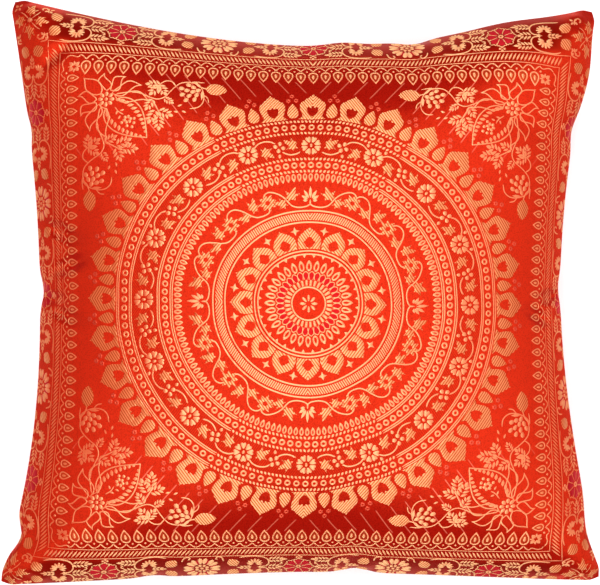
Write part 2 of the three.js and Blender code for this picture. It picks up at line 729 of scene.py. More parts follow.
@dataclass
class FilledCover:
    """The sewn cover with its filling: a front and a back panel on one seam.

    Attributes:
        cells: Squares along each side of the panel while it is blown up.
        parts: Finer steps in each of those squares afterwards.
        seam_height: Height of the seam above the floor.
        crown: How far each panel starts above or below the seam.
        fullness: How boxy the starting shape is.
        ear_droop: How far the corners hang below the seam.
        pressure: Push of the filling on the cloth.
        frames: Steps of the simulation.
        spreads: Rounds of evening out the grid before it.
        top: Height of the crown.
        belly: Height up to which the floor presses the back.
        flat_edge: Softness of the turn at the edge of the flat that it rests on.
        dents: The creases of the front.
        front: Points of the front panel, once it is blown up.
        back: Points of the back panel, once it is blown up.
    """

    cells: int = 56
    parts: int = 4
    seam_height: float = 0.066
    crown: float = 0.064
    fullness: float = 0.46
    ear_droop: float = 0.014
    pressure: float = 300.0
    frames: int = 24
    spreads: int = 24
    top: float = round(float(CAD_BOX[1][2]), 4)
    belly: float = 0.05
    flat_edge: float = 0.004
    dents: tuple[Dent, ...] = (
        Dent(-0.150, 0.030, 62, 0.030, 0.009, 0.0020),
        Dent(-0.172, -0.158, 38, 0.024, 0.010, 0.0050),
        Dent(0.150, 0.108, 150, 0.030, 0.010, 0.0025),
        Dent(0.070, 0.148, 100, 0.022, 0.009, 0.0025),
        Dent(0.034, -0.178, 80, 0.010, 0.007, 0.0030),
        Dent(-0.155, 0.039, -25, 0.011, 0.0040, 0.0070),
        Dent(-0.149, 0.018, 22, 0.012, 0.0040, 0.0065),
        Dent(-0.163, -0.004, -8, 0.011, 0.0036, 0.0070),
        Dent(-0.153, -0.014, -25, 0.010, 0.0036, 0.0065),
        Dent(-0.161, 0.152, 40, 0.012, 0.0040, 0.0030),
        Dent(0.165, -0.002, 15, 0.011, 0.0036, 0.0060),
        Dent(0.154, -0.015, -28, 0.009, 0.0036, 0.0050),
    )
    front: Array = field(init=False, repr=False)
    back: Array = field(init=False, repr=False)

    def blow_up(self) -> None:
        """Shape both panels: a start by rule, then pressure from inside, then fine steps and creases."""
        low, high = self._evenly_spread()
        low, high = self._simulate(low, high)
        high[..., 2] = self._settle(high[..., 2])
        low[..., 2] = self._rest(low[..., 2])
        self.back, self.front = self._finer(low), self._finer(high)
        for dent in self.dents:
            self.front[..., 2] -= dent.press(self.front) * self._free_of_seam()

    def _finer(self, grid: Array) -> Array:
        """Put fine smooth steps between the points of a panel, both ways."""
        return refine(refine(grid, self.parts).swapaxes(0, 1), self.parts).swapaxes(0, 1)

    def _free_of_seam(self) -> Array:
        """Give a weight for each point of a panel: 0 on the seam and 1 away from it."""
        edge = 1 - np.linspace(-1, 1, self.cells * self.parts + 1) ** CREASE_HOLD
        return np.outer(edge, edge)

    def _settle(self, heights: Array) -> Array:
        """Bring the crown to its height over the seam."""
        rise = heights - self.seam_height
        return np.where(rise > 0, rise * (self.top - self.seam_height) / rise.max(), rise) + self.seam_height

    def _rest(self, heights: Array) -> Array:
        """Press the belly flat on the floor, with a soft turn at the edge of the flat."""
        pressed = self.flat_edge * np.logaddexp(0.0, heights / self.flat_edge)
        return np.where(heights < self.belly, pressed, heights)

    def _surface(self, across: Array, up: Array, side: float) -> Array:
        """Find points on the starting shape.

        Args:
            across: Places from -1 at the left seam to 1 at the right one.
            up: Places from -1 at the bottom seam to 1 at the top one.
            side: 1 for the front, -1 for the back.

        Returns:
            A point for each place.
        """
        u, v = across.ravel(), up.ravel()
        r, t = (u + 1) / 2, (v + 1) / 2
        plan = LEFT.reach(v, 1 - r) + RIGHT.reach(v, r) + BOTTOM.reach(u, 1 - t) + TOP.reach(u, t)
        r, t = r[:, None], t[:, None]
        shares = (
            (BOTTOM_LEFT, (1 - r) * (1 - t)),
            (BOTTOM_RIGHT, r * (1 - t)),
            (TOP_LEFT, (1 - r) * t),
            (TOP_RIGHT, r * t),
        )
        for corner, share in shares:
            plan = plan - share * np.array((corner.x, corner.y)) + corner.pull(u, v, share)
        fill = np.maximum(0, (1 - u**2) * (1 - v**2)) ** self.fullness
        height = self.seam_height - self.ear_droop * (u * v) ** EAR_HOLD + side * self.crown * fill
        return np.c_[plan, height].reshape(*across.shape, 3)

    def _evenly_spread(self) -> tuple[Array, Array]:
        """Space the grid evenly along the cloth, as the threads of the cut panel are.

        Returns:
            The back and the front panel.
        """
        run = np.linspace(-1, 1, self.cells + 1)
        across, up = np.meshgrid(run, run, indexing="xy")
        share = np.linspace(0, 1, self.cells + 1)
        for turn in range(self.spreads):
            points = self._surface(across, up, 1.0)
            axis = 1 - turn % 2
            gaps = np.linalg.norm(np.diff(points, axis=axis), axis=2)
            for line in range(self.cells + 1):
                pick = (line, slice(None)) if axis == 1 else (slice(None), line)
                walked = np.concatenate([[0.0], np.cumsum(gaps[pick])])
                even = share * walked[-1]
                for grid in (across, up):
                    grid[pick] = np.interp(even, walked, grid[pick])
        front, back = self._surface(across, up, 1.0), self._surface(across, up, -1.0)
        plan = front[..., :2].reshape(-1, 2)
        middle = (plan.min(0) + plan.max(0)) / 2
        front[..., :2] -= middle
        back[..., :2] -= middle
        return back, front

    def _simulate(self, back: Array, front: Array) -> tuple[Array, Array]:
        """Blow the sewn panels up from inside, with the seam held, and keep the result.

        Args:
            back: The back panel's points.
            front: The front panel's points.

        Returns:
            The back and the front panel after the simulation.
        """
        side = self.cells + 1
        top_index = np.arange(side * side).reshape(side, side)
        on_seam = np.ones((side, side), bool)
        on_seam[1:-1, 1:-1] = False
        low_index = top_index.copy()
        low_index[~on_seam] = side * side + np.arange((~on_seam).sum())
        points = np.vstack([front.reshape(-1, 3), back[~on_seam]])
        faces = np.vstack([grid_faces(top_index, True), grid_faces(low_index, False)])
        blown = make_object("blown_cover", points, faces)

        run = np.linspace(-CUT / 2, CUT / 2, side)
        flat = np.dstack([*np.meshgrid(run, run, indexing="xy"), np.zeros((side, side))])
        blown.shape_key_add(name="Basis")
        cut_key = blown.shape_key_add(name="cut")
        cut_key.data.foreach_set("co", np.vstack([flat.reshape(-1, 3), flat[~on_seam]]).ravel())
        cut_key.value = 0.0
        held = blown.vertex_groups.new(name="seam")
        held.add(top_index[on_seam].tolist(), 1.0, "REPLACE")

        moved = self._fill(blown, cut_key)
        bpy.data.meshes.remove(blown.data)
        return moved[low_index], moved[top_index]

    def _fill(self, blown: Object, cut_key: ShapeKey) -> Array:
        """Run the cloth simulation with pressure inside.

        Args:
            blown: Both panels on one seam.
            cut_key: The size that their cloth was cut to.

        Returns:
            Their points afterwards.
        """
        cloth = blown.modifiers.new("filling", "CLOTH")
        for name, value in CLOTH.items():
            setattr(cloth.settings, name, value)
        cloth.settings.uniform_pressure_force = self.pressure
        cloth.settings.rest_shape_key = cut_key
        cloth.settings.effector_weights.gravity = 0
        cloth.collision_settings.use_collision = False
        cloth.point_cache.frame_start = 1
        cloth.point_cache.frame_end = self.frames
        for step in range(1, self.frames + 1):
            bpy.context.scene.frame_set(step)
        result = blown.evaluated_get(bpy.context.evaluated_depsgraph_get()).data
        moved = np.empty(len(result.vertices) * 3)
        result.vertices.foreach_get("co", moved)
        bpy.context.scene.frame_set(1)
        return moved.reshape(-1, 3)

    def panel(self, name: str, grid: Array, up: bool, finish: Material) -> Object:
        """Make one panel as a mesh, with a map of the flat cloth.

        Args:
            name: The piece's name.
            grid: The panel's points.
            up: True where the panel faces up.
            finish: Its material.

        Returns:
            The panel.
        """
        side = grid.shape[0]
        index = np.arange(side * side).reshape(side, side)
        piece = make_object(name, grid.reshape(-1, 3), grid_faces(index, up))
        mesh = piece.data
        corners = np.empty(len(mesh.loops), int)
        mesh.loops.foreach_get("vertex_index", corners)
        flat = np.stack([corners % side, corners // side], -1) / (side - 1)
        mesh.uv_layers.new(name=BAKE_MAP).data.foreach_set("uv", flat.ravel())
        mesh.materials.append(finish)
        lay_threads(mesh)
        return piece


# ---- Woven shapes, drawn flat in millimetres ----

RIM, RIDGE = -0.03, 0.2  # heights over the cloth of a thread's edge and of its middle, in mm
PLATEAU = 0.7  # share of a filled shape that stands at full height


def polar(radius: float, degrees: float) -> Point:
    """Find a point from its distance and its clockwise angle from straight up."""
    angle = math.radians(degrees)
    return radius * math.sin(angle), radius * math.cos(angle)


def smooth(points: Sequence[Point], parts: int = 4) -> Rail:
    """Draw a smooth open line through points.

    Args:
        points: The points.
        parts: Steps put in each gap.

    Returns:
        The points of the line.
    """
    return [tuple(p) for p in refine(np.array(points, float), parts)]


def drop(point: float, blunt: float, half: float, sharp: float = 1.0, count: int = 16) -> Rail:
    """Draw a drop that stands upright.

    Args:
        point: Height of its pointed end.
        blunt: Height of its round end.
        half: Half of its width.
        sharp: 0 for an oval, more for a longer point.
        count: Points in the outline.

    Returns:
        The closed outline.
    """
    turn = np.linspace(0, 2 * np.pi, count, endpoint=False)
    across = np.sin(turn) * np.sin(turn / 2) ** sharp
    along = point + (blunt - point) * (1 - np.cos(turn)) / 2
    return [tuple(p) for p in np.c_[across * half / np.abs(across).max(), along]]


def almond(low: float, high: float, half: float, count: int = 14) -> Rail:
    """Draw an almond that stands upright, pointed at both ends.

    Args:
        low: Height of its lower end.
        high: Height of its upper end.
        half: Half of its width.
        count: Points in the outline.

    Returns:
        The closed outline.
    """
    turn = np.linspace(0, 2 * np.pi, count, endpoint=False)
    across = half * np.sin(turn) * np.abs(np.sin(turn)) ** 0.5
    along = low + (high - low) * (1 - np.cos(turn)) / 2
    return [tuple(p) for p in np.c_[across, along]]


def star(tips: int, outer: float, inner: float, turn: float = 0.0, soft: int = 1) -> Rail:
    """Draw a star or a round flower about the middle.

    Args:
        tips: Number of tips.
        outer: Radius of the tips.
        inner: Radius of the notches.
        turn: Angle of the first tip.
        soft: Points from tip to notch.

    Returns:
        The closed outline.
    """
    steps = tips * 2 * soft
    reach = [(1 + math.cos(2 * math.pi * tips * k / steps)) / 2 for k in range(steps)]
    return [polar(inner + (outer - inner) * r, turn + 360 * k / steps) for k, r in enumerate(reach)]


def both_sides(half: Sequence[Point]) -> Rail:
    """Complete an outline that is the same left and right.

    Args:
        half: Its right half, from the top down to the bottom.

    Returns:
        The closed outline.
    """
    return [*half, *((-x, y) for x, y in reversed(half) if abs(x) > 1e-6)]


def reach_of(outline: Sequence[Point], middle: Point, angle: float) -> float:
    """Measure how far an outline is from a point inside it, in one direction.

    Args:
        outline: The closed outline.
        middle: The point inside.
        angle: The direction, clockwise from straight up.

    Returns:
        The distance.
    """
    dx, dy = polar(1.0, angle)
    best = 0.0
    for (ax, ay), (bx, by) in zip(outline, (*outline[1:], outline[0])):
        ex, ey = bx - ax, by - ay
        cross = dx * ey - dy * ex
        if abs(cross) < 1e-12:
            continue
        px, py = ax - middle[0], ay - middle[1]
        along = (px * ey - py * ex) / cross
        share = (px * dy - py * dx) / cross
        if along > 0 and -1e-9 <= share <= 1 + 1e-9:
            best = max(best, along)
    return best


class Weave:
    """Flat woven shapes in one mesh, in millimetres, with a low rim and a raised middle."""

    def __init__(self) -> None:
        """Start empty."""
        self.points: list[tuple[float, float, float]] = []
        self.faces: list[tuple[int, ...]] = []

    def _rails(self, rails: Sequence[Sequence[tuple[float, float, float]]], closed: bool) -> None:
        """Fill the cloth between lines that lie side by side.

        Args:
            rails: The lines, each with the same number of points.
            closed: True where each line is a loop.
        """
        first, count = len(self.points), len(rails[0])
        for rail in rails:
            self.points.extend(rail)
        for row in range(len(rails) - 1):
            for k in range(count if closed else count - 1):
                a = first + row * count + k
                b = first + row * count + (k + 1) % count
                self.faces.append((a, b, b + count, a + count))

    def stroke(self, path: Sequence[Point], width: float, closed: bool = False) -> Weave:
        """Draw a line of thread.

        Args:
            path: The line's points.
            width: Its width.
            closed: True for a loop.

        Returns:
            This threadwork.
        """
        line = np.array(path, float)
        if closed:
            run = np.roll(line, -1, 0) - np.roll(line, 1, 0)
        else:
            run = np.gradient(line, axis=0)
        run /= np.maximum(np.linalg.norm(run, axis=1), 1e-9)[:, None]
        side = np.c_[-run[:, 1], run[:, 0]] * width / 2
        ridge = np.full(len(line), RIDGE)
        if not closed:
            ridge[[0, -1]] = RIM
        low = np.full(len(line), RIM)
        rails = [np.c_[line + side, low], np.c_[line, ridge], np.c_[line - side, low]]
        self._rails([[tuple(p) for p in rail] for rail in rails], closed)
        return self

    def leaf(self, base: Point, tip: Point, width: float) -> Weave:
        """Fill a narrow leaf.

        Args:
            base: Where it starts.
            tip: Where it ends.
            width: Its full width.

        Returns:
            This threadwork.
        """
        start, end = np.array(base, float), np.array(tip, float)
        run = end - start
        side = np.array((-run[1], run[0])) / np.linalg.norm(run) * width / 2
        stations = ((0.0, 0.25, RIM), (0.3, 0.95, RIDGE), (0.62, 0.9, RIDGE), (1.0, 0.12, RIM))
        rails: list[list[tuple[float, float, float]]] = [[], [], []]
        for share, wide, height in stations:
            spot = start + run * share
            for rail, offset, up in zip(rails, (side * wide, 0 * side, -side * wide), (RIM, height, RIM)):
                rail.append((*(spot + offset), up))
        self._rails(rails, False)
        return self

    def fill(self, outline: Sequence[Point], height: float = RIDGE) -> Weave:
        """Fill a closed outline that its middle can see all of.

        Args:
            outline: The outline.
            height: Height of its middle.

        Returns:
            This threadwork.
        """
        rim = np.array(outline, float)
        middle = rim.mean(0)
        inner = middle + (rim - middle) * PLATEAU
        self._rails([[(*p, RIM) for p in rim], [(*p, height) for p in inner]], True)
        last, count = len(self.points), len(rim)
        self.points.append((*middle, height))
        first = last - count
        self.faces.extend((first + k, first + (k + 1) % count, last) for k in range(count))
        return self

    def band(self, outer: Sequence[Point], inner: Sequence[Point], rays: int = 24) -> Weave:
        """Fill the cloth between an outline and a hole.

        Args:
            outer: The outline, whose corners are all kept.
            inner: The hole's outline.
            rays: Least number of points round each of them.

        Returns:
            This threadwork.
        """
        middle = tuple(np.array(inner, float).mean(0))
        angles = {round(360 * k / rays, 1) for k in range(rays)}
        angles |= {round(math.degrees(math.atan2(x - middle[0], y - middle[1])) % 360, 1) for x, y in outer}
        rails: list[list[tuple[float, float, float]]] = [[], [], [], []]
        for angle in sorted(angles - {360.0}):
            far, near = reach_of(outer, middle, angle), reach_of(inner, middle, angle)
            for rail, share, height in zip(rails, (1, 0.75, 0.25, 0), (RIM, RIDGE, RIDGE, RIM)):
                dx, dy = polar(near + (far - near) * share, angle)
                rail.append((middle[0] + dx, middle[1] + dy, height))
        self._rails(rails, True)
        return self

    def add(self, *others: Weave) -> Weave:
        """Take in other threadwork.

        Args:
            *others: The threadwork to take in.

        Returns:
            This threadwork.
        """
        for other in others:
            first = len(self.points)
            self.points.extend(other.points)
            self.faces.extend(tuple(first + k for k in face) for face in other.faces)
        return self

    def placed(self, x: float = 0.0, y: float = 0.0, turn: float = 0.0, size: float = 1.0) -> Weave:
        """Copy this threadwork to another place.

        Args:
            x: Move to the right.
            y: Move up.
            turn: Clockwise turn in degrees, made first.
            size: Scale, made first.

        Returns:
            The copy.
        """
        angle = math.radians(turn)
        c, s = math.cos(angle) * size, math.sin(angle) * size
        copy = Weave()
        copy.points = [(x + c * px + s * py, y - s * px + c * py, h) for px, py, h in self.points]
        copy.faces = list(self.faces)
        return copy

    def mirrored(self) -> Weave:
        """Copy this threadwork, swapping left and right.

        Returns:
            The copy.
        """
        copy = Weave()
        copy.points = [(-x, y, h) for x, y, h in self.points]
        copy.faces = list(self.faces)
        return copy

    def with_mirror(self) -> Weave:
        """Copy this threadwork together with its mirror image."""
        return Weave().add(self, self.mirrored())

    def finished(self, name: str) -> Object:
        """Make the flat mesh, in metres, with every face looking up.

        Args:
            name: The object's name.

        Returns:
            The object.
        """
        flat = np.array(self.points) * MM
        faces = []
        for face in self.faces:
            x, y = flat[list(face), 0], flat[list(face), 1]
            turn = np.sum(x * np.roll(y, -1) - y * np.roll(x, -1))
            faces.append(face if turn > 0 else face[::-1])
        return make_object(name, flat, faces)


# ---- Weaving: repeat the shapes, then lay them on the filled panel ----


@dataclass(frozen=True)
class Repeat:
    """One woven shape used again and again, round the middle or along a line.

    Attributes:
        shape: The shape.
        count: How many there are.
        start: Where the first one is.
        step: From each one to the next.
        turn: Clockwise angle of the first one, in degrees.
        turn_step: Clockwise angle from each one to the next.
    """

    shape: Weave
    count: int = 1
    start: Point = (0.0, 0.0)
    step: Point = (0.0, 0.0)
    turn: float = 0.0
    turn_step: float = 0.0


Parts = dict[str, list[Repeat]]


def ring(shape: Weave, count: int, first: float = 0.0) -> Repeat:
    """Repeat a shape evenly round the middle.

    Args:
        shape: The shape, drawn above the middle.
        count: How many there are.
        first: Clockwise angle of the first one.

    Returns:
        The repeat.
    """
    return Repeat(shape, count, turn=first, turn_step=360 / count)


class GeometryTree:
    """A Geometry Nodes tree with named inputs, built once and used on many objects."""

    def __init__(self, name: str, inputs: dict[str, str]) -> None:
        """Start a tree.

        Args:
            name: The tree's name.
            inputs: The kind of socket of each named input.
        """
        self.tree = bpy.data.node_groups.new(name, "GeometryNodeTree")
        face = self.tree.interface
        face.new_socket("Geometry", in_out="INPUT", socket_type="NodeSocketGeometry")
        face.new_socket("Geometry", in_out="OUTPUT", socket_type="NodeSocketGeometry")
        self.names = {
            label: face.new_socket(label, in_out="INPUT", socket_type=kind).identifier
            for label, kind in inputs.items()
        }
        self.graph = Graph(self.tree)
        self.inlet = self.graph.add("NodeGroupInput")

    def signal(self, label: str) -> Signal:
        """Read one named input as a number."""
        return Signal(self.graph, self.inlet.outputs[label])

    def close(self, geometry: NodeSocket) -> None:
        """End the tree with plain, dressed faces.

        Args:
            geometry: What the tree has made.
        """
        real = self.graph.add("GeometryNodeRealizeInstances", None, {0: geometry})
        dressed = self.graph.add(
            "GeometryNodeSetMaterial",
            None,
            {"Geometry": real.outputs[0], "Material": self.inlet.outputs["Finish"]},
        )
        self.graph.add("NodeGroupOutput", None, {0: dressed.outputs[0]})

    def use_on(self, piece: Object, values: dict[str, object]) -> None:
        """Put the tree on an object.

        Args:
            piece: The object.
            values: A value for each named input.
        """
        modifier = piece.modifiers.new(self.tree.name, "NODES")
        modifier.node_group = self.tree
        for label, value in values.items():
            modifier[self.names[label]] = value


def repeat_tree() -> GeometryTree:
    """Build the tree that sets one shape at every place of a ring or a row.

    Returns:
        The tree.
    """
    made = GeometryTree(
        "repeat_shape",
        {
            "Shape": "NodeSocketObject",
            "Count": "NodeSocketInt",
            "Start": "NodeSocketVector",
            "Step": "NodeSocketVector",
            "Turn": "NodeSocketFloat",
            "Turn step": "NodeSocketFloat",
            "Finish": "NodeSocketMaterial",
        },
    )
    graph, inlet = made.graph, made.inlet
    index = Signal(graph, graph.add("GeometryNodeInputIndex").outputs[0])
    walk = graph.add(
        "ShaderNodeVectorMath",
        {"operation": "MULTIPLY_ADD"},
        {
            0: graph.add("ShaderNodeCombineXYZ", None, {0: index, 1: index, 2: index}).outputs[0],
            1: inlet.outputs["Step"],
            2: inlet.outputs["Start"],
        },
    )
    sockets = {"Count": inlet.outputs["Count"], "Position": walk.outputs[0]}
    places = graph.add("GeometryNodePoints", None, sockets)
    angle = made.signal("Turn") + index * made.signal("Turn step")
    axis = graph.add("ShaderNodeCombineXYZ", None, {2: angle})
    spin = graph.add("FunctionNodeEulerToRotation", None, {0: axis.outputs[0]})
    shape = graph.add("GeometryNodeObjectInfo", None, {"Object": inlet.outputs["Shape"]})
    sockets = {"Points": places.outputs[0], "Instance": shape.outputs["Geometry"]}
    sockets["Rotation"] = spin.outputs[0]
    copies = graph.add("GeometryNodeInstanceOnPoints", None, sockets)
    joined = graph.add("GeometryNodeJoinGeometry")
    graph.tree.links.new(copies.outputs[0], joined.inputs[0])
    graph.tree.links.new(inlet.outputs["Geometry"], joined.inputs[0])
    made.close(joined.outputs[0])
    return made


def drape_tree() -> GeometryTree:
    """Build the tree that lays flat woven shapes on the filled panel and maps them.

    Returns:
        The tree.
    """
    made = GeometryTree("drape_on_panel", {"Panel": "NodeSocketObject", "Finish": "NodeSocketMaterial"})
    graph, inlet = made.graph, made.inlet
    position = graph.add("GeometryNodeInputPosition").outputs[0]
    spot = graph.add("ShaderNodeSeparateXYZ", None, {0: position})
    across, up, height = (Signal(graph, spot.outputs[k]) for k in range(3))
    on_map = graph.add("ShaderNodeCombineXYZ", None, {0: across / CUT + 0.5, 1: up / CUT + 0.5})
    mapped = graph.add(
        "GeometryNodeStoreNamedAttribute",
        {"data_type": "FLOAT2", "domain": "CORNER"},
        {"Geometry": inlet.outputs["Geometry"], "Name": BAKE_MAP, "Value": on_map.outputs[0]},
    )
    panel = graph.add("GeometryNodeObjectInfo", None, {"Object": inlet.outputs["Panel"]})
    panel_map = graph.add(
        "GeometryNodeInputNamedAttribute", {"data_type": "FLOAT_VECTOR"}, {"Name": BAKE_MAP}
    )
    looks = []
    for kind in ("GeometryNodeInputPosition", "GeometryNodeInputNormal"):
        looked = graph.add(
            "GeometryNodeSampleUVSurface",
            {"data_type": "FLOAT_VECTOR"},
            {
                "Mesh": panel.outputs["Geometry"],
                "Value": graph.add(kind).outputs[0],
                "UV Map": panel_map.outputs[0],
                "Sample UV": on_map.outputs[0],
            },
        )
        looks.append(looked.outputs["Value"])
    lift = graph.add("ShaderNodeCombineXYZ", None, {0: height, 1: height, 2: height})
    sockets = {0: looks[1], 1: lift.outputs[0], 2: looks[0]}
    place = graph.add("ShaderNodeVectorMath", {"operation": "MULTIPLY_ADD"}, sockets)
    sockets = {"Geometry": mapped.outputs[0], "Position": place.outputs[0]}
    made.close(graph.add("GeometryNodeSetPosition", None, sockets).outputs[0])
    return made


@dataclass(frozen=True)
class Layout:
    """How the woven design lies on the stuffed panel, whose filling shifts and stretches the cloth.

    Attributes:
        middle: Where the middle of the design lies on the flat panel.
        wide: Stretch of the design across the panel.
        tall: Stretch of the design up the panel.
        half: Reach over which the pulls below grow from nothing to their full size.
        lean_x: How far points drift sideways as they rise.
        lean_y: How far points drop as they lie further right.
        spread: How far both sides are drawn outwards.
        tuck_x: How far the four corners are drawn in sideways.
        tuck_y: How far the four corners are drawn in upwards and downwards.
        sag: How far both sides hang below the middle.
        shift: How far the left and right sides both lie to the left.
        bow: How far the top and bottom both lie to the left.
        drop: How far the top and bottom both lie low.
    """

    middle: Point = (0.0053, 0.0034)
    wide: float = 1.017
    tall: float = 0.986
    half: float = 0.168
    lean_x: float = 0.0214
    lean_y: float = 0.0147
    spread: float = 0.0031
    tuck_x: float = 0.0096
    tuck_y: float = 0.0079
    sag: float = 0.0070
    shift: float = 0.0019
    bow: float = 0.0026
    drop: float = 0.0019

    def place(self, flat: Array) -> Array:
        """Move points of the design to their places on the panel.

        Args:
            flat: Points of the design, whose third number is a height.

        Returns:
            The moved points.
        """
        x, y = flat[:, 0], flat[:, 1]
        right = np.clip(x / self.half, -1, 1)
        up = np.clip(y / self.half, -1, 1)
        moved = flat.copy()
        moved[:, 0] = self.middle[0] + x * self.wide + y * self.lean_x + self.spread * right**3
        moved[:, 0] -= self.shift * right**2 + self.bow * up**2 + self.tuck_x * right * up**2
        moved[:, 1] = self.middle[1] + y * self.tall - x * self.lean_y
        moved[:, 1] -= self.sag * right**2 + self.drop * up**2 + self.tuck_y * up * right**2
        return moved

    def read(self, graph: Graph) -> tuple[Signal, Signal]:
        """Read where a point of the panel lies in the design.

        Args:
            graph: The material's tree.

        Returns:
            Distance right and up of the middle of the rings, in metres.
        """
        x, y = flat_axes(graph)
        x, y = x - self.middle[0], y - self.middle[1]
        right = (x / (self.half * self.wide)).math("MINIMUM", 1.0).math("MAXIMUM", -1.0)
        up = (y / (self.half * self.tall)).math("MINIMUM", 1.0).math("MAXIMUM", -1.0)
        wide_of, high_of = right * right, up * up
        moved_x = x - y * self.lean_x - right * wide_of * self.spread + wide_of * self.shift
        moved_x = moved_x + high_of * self.bow + right * high_of * self.tuck_x
        moved_y = y + x * self.lean_y + wide_of * self.sag + high_of * self.drop + up * wide_of * self.tuck_y
        return moved_x / self.wide, moved_y / self.tall


@dataclass
class Loom:
    """Weaves flat shapes into the front panel.

    Attributes:
        panel: The front panel.
        layout: Where the design lies on it.
        selvage: Strip along the seam that woven pieces leave free.
        repeater: The tree that repeats shapes.
        draper: The tree that lays them on the panel.
    """

    panel: Object
    layout: Layout = Layout()
    selvage: float = 0.0004
    repeater: GeometryTree = field(default_factory=repeat_tree, repr=False)
    draper: GeometryTree = field(default_factory=drape_tree, repr=False)

    def weave(self, name: str, repeats: Sequence[Repeat], finish: Material) -> Object:
        """Repeat shapes flat, trim them at the seam and lay them on the panel.

        Args:
            name: The piece's name.
            repeats: Its shapes.
            finish: Its material.

        Returns:
            The piece.
        """
        piece = make_object(name, [], [])
        shapes = []
        for number, repeat in enumerate(repeats):
            shape = repeat.shape.finished(f"{name}_shape_{number}")
            shape.hide_render = True
            shapes.append(shape)
            self.repeater.use_on(
                piece,
                {
                    "Shape": shape,
                    "Count": repeat.count,
                    "Start": (repeat.start[0] * MM, repeat.start[1] * MM, 0.0),
                    "Step": (repeat.step[0] * MM, repeat.step[1] * MM, 0.0),
                    "Turn": -math.radians(repeat.turn),
                    "Turn step": -math.radians(repeat.turn_step),
                    "Finish": finish,
                },
            )
        self._keep_result(piece)
        self._trim(piece.data)
        self.draper.use_on(piece, {"Panel": self.panel, "Finish": finish})
        self._keep_result(piece)
        for shape in shapes:
            bpy.data.meshes.remove(shape.data)
        lay_threads(piece.data)
        return piece

    @staticmethod
    def _keep_result(piece: Object) -> None:
        """Turn what the modifiers make into the object's own plain mesh.

        Args:
            piece: The object.
        """
        ready = piece.evaluated_get(bpy.context.evaluated_depsgraph_get())
        mesh = bpy.data.meshes.new_from_object(ready)
        piece.modifiers.clear()
        old, piece.data = piece.data, mesh
        bpy.data.meshes.remove(old)
        mesh.name = piece.name

    def _trim(self, mesh: Mesh) -> None:
        """Move flat shapes to their places and cut off what lies beyond the seam.

        Args:
            mesh: The flat mesh.
        """
        flat = np.empty(len(mesh.vertices) * 3)
        mesh.vertices.foreach_get("co", flat)
        mesh.vertices.foreach_set("co", self.layout.place(flat.reshape(-1, 3)).ravel())
        edge = CUT / 2 - self.selvage
        sheet = bmesh.new()
        sheet.from_mesh(mesh)
        for outward in ((1, 0, 0), (-1, 0, 0), (0, 1, 0), (0, -1, 0)):
            bmesh.ops.bisect_plane(
                sheet,
                geom=[*sheet.verts, *sheet.edges, *sheet.faces],
                dist=1e-6,
                plane_co=Vector(outward) * edge,
                plane_no=outward,
                clear_outer=True,
            )
        sheet.to_mesh(mesh)
        sheet.free()


# ---- The woven design ----


def circle(radius: float, count: int = 12) -> Rail:
    """Draw a circle about the middle."""
    return [polar(radius, 360 * k / count) for k in range(count)]


def line_ring(radius: float, width: float, count: int = 180) -> Repeat:
    """Weave one unbroken ring line.

    Args:
        radius: Its radius.
        width: Its width.
        count: Steps round it.

    Returns:
        The ring.
    """
    return Repeat(Weave().stroke(circle(radius, count), width, closed=True))


@dataclass(frozen=True)
class Medallion:
    """The rings at the middle, from the small flower to the lotus arches.

    Attributes:
        rays: Number of small petals in each inner ring.
        arches: Number of lotus arches.
    """

    rays: int = 32
    arches: int = 16

    def repeats(self) -> Parts:
        """Draw the rings from the middle outwards.

        Returns:
            The rings of each yarn.
        """
        half_ray, half_arch = 180 / self.rays, 180 / self.arches
        cell_path = [
            (-0.9, 15.6), (-1.75, 18.2), (-1.6, 20), (0, 21.4), (1.6, 20), (1.75, 18.2), (0.9, 15.6),
        ]
        cell = Weave().stroke(smooth(cell_path, 2), 0.65)
        cell_fill = [
            (-0.7, 15.9), (-1.45, 18.2), (-1.3, 19.9), (0, 21), (1.3, 19.9), (1.45, 18.2), (0.7, 15.9),
        ]
        tick = Weave().fill([(-0.7, 11.8), (-0.95, 15.2), (0, 15.9), (0.95, 15.2), (0.7, 11.8)])
        petal = Weave().band(drop(28.9, 21.4, 1.95, 0.45, 16), almond(22.4, 26.6, 0.75, 8), 12)
        cusp = Weave().fill([(-1.4, 32.6), (0, 30.2), (1.4, 32.6), (0, 32.4)])
        arch = Weave().band(
            both_sides([
                (0, 51.3), (0.9, 49.9), (1.7, 49.9), (2.5, 48.7), (3.4, 48.5), (4.3, 47.1), (5.3, 46.7),
                (6.1, 45.2), (7.1, 44.3), (7.7, 41.8), (7.55, 38.6), (6.85, 35.9), (3.4, 36.3), (0, 36.4),
            ]),
            both_sides([
                (0, 44.4), (1.4, 43.5), (2.3, 42), (3.9, 40.7), (2.6, 39.4), (1.9, 37.7), (0, 37.1),
            ]),
        )
        return {
            "gold": [ring(arch, self.arches)],
            "wine": [ring(Weave().fill(cell_fill, 0.06), self.rays, half_ray)],
            "braid": [line_ring(58.05, 5.4)],
            "cream": [
                ring(Weave().fill(drop(1.5, 5.9, 0.95, 0.4, 8)), 8),
                line_ring(10.9, 1.15, 64),
                ring(tick, self.rays, half_ray),
                ring(cell, self.rays, half_ray),
                ring(petal, self.rays),
                ring(cusp, self.rays, half_ray),
                line_ring(32.8, 1.05, 128),
                line_ring(35.0, 1.05, 128),
                ring(Weave().fill(star(4, 3.1, 1.3)).placed(0, 48.7), self.arches, half_arch),
                line_ring(54.2, 1.15),
                line_ring(62.0, 1.15),
            ],
        }


def bead(radius: float, size: float = 2.25, hole: float = 0.95) -> Weave:
    """Draw one round bead with a hole."""
    return Weave().band(circle(size), circle(hole), 12).placed(0, radius)


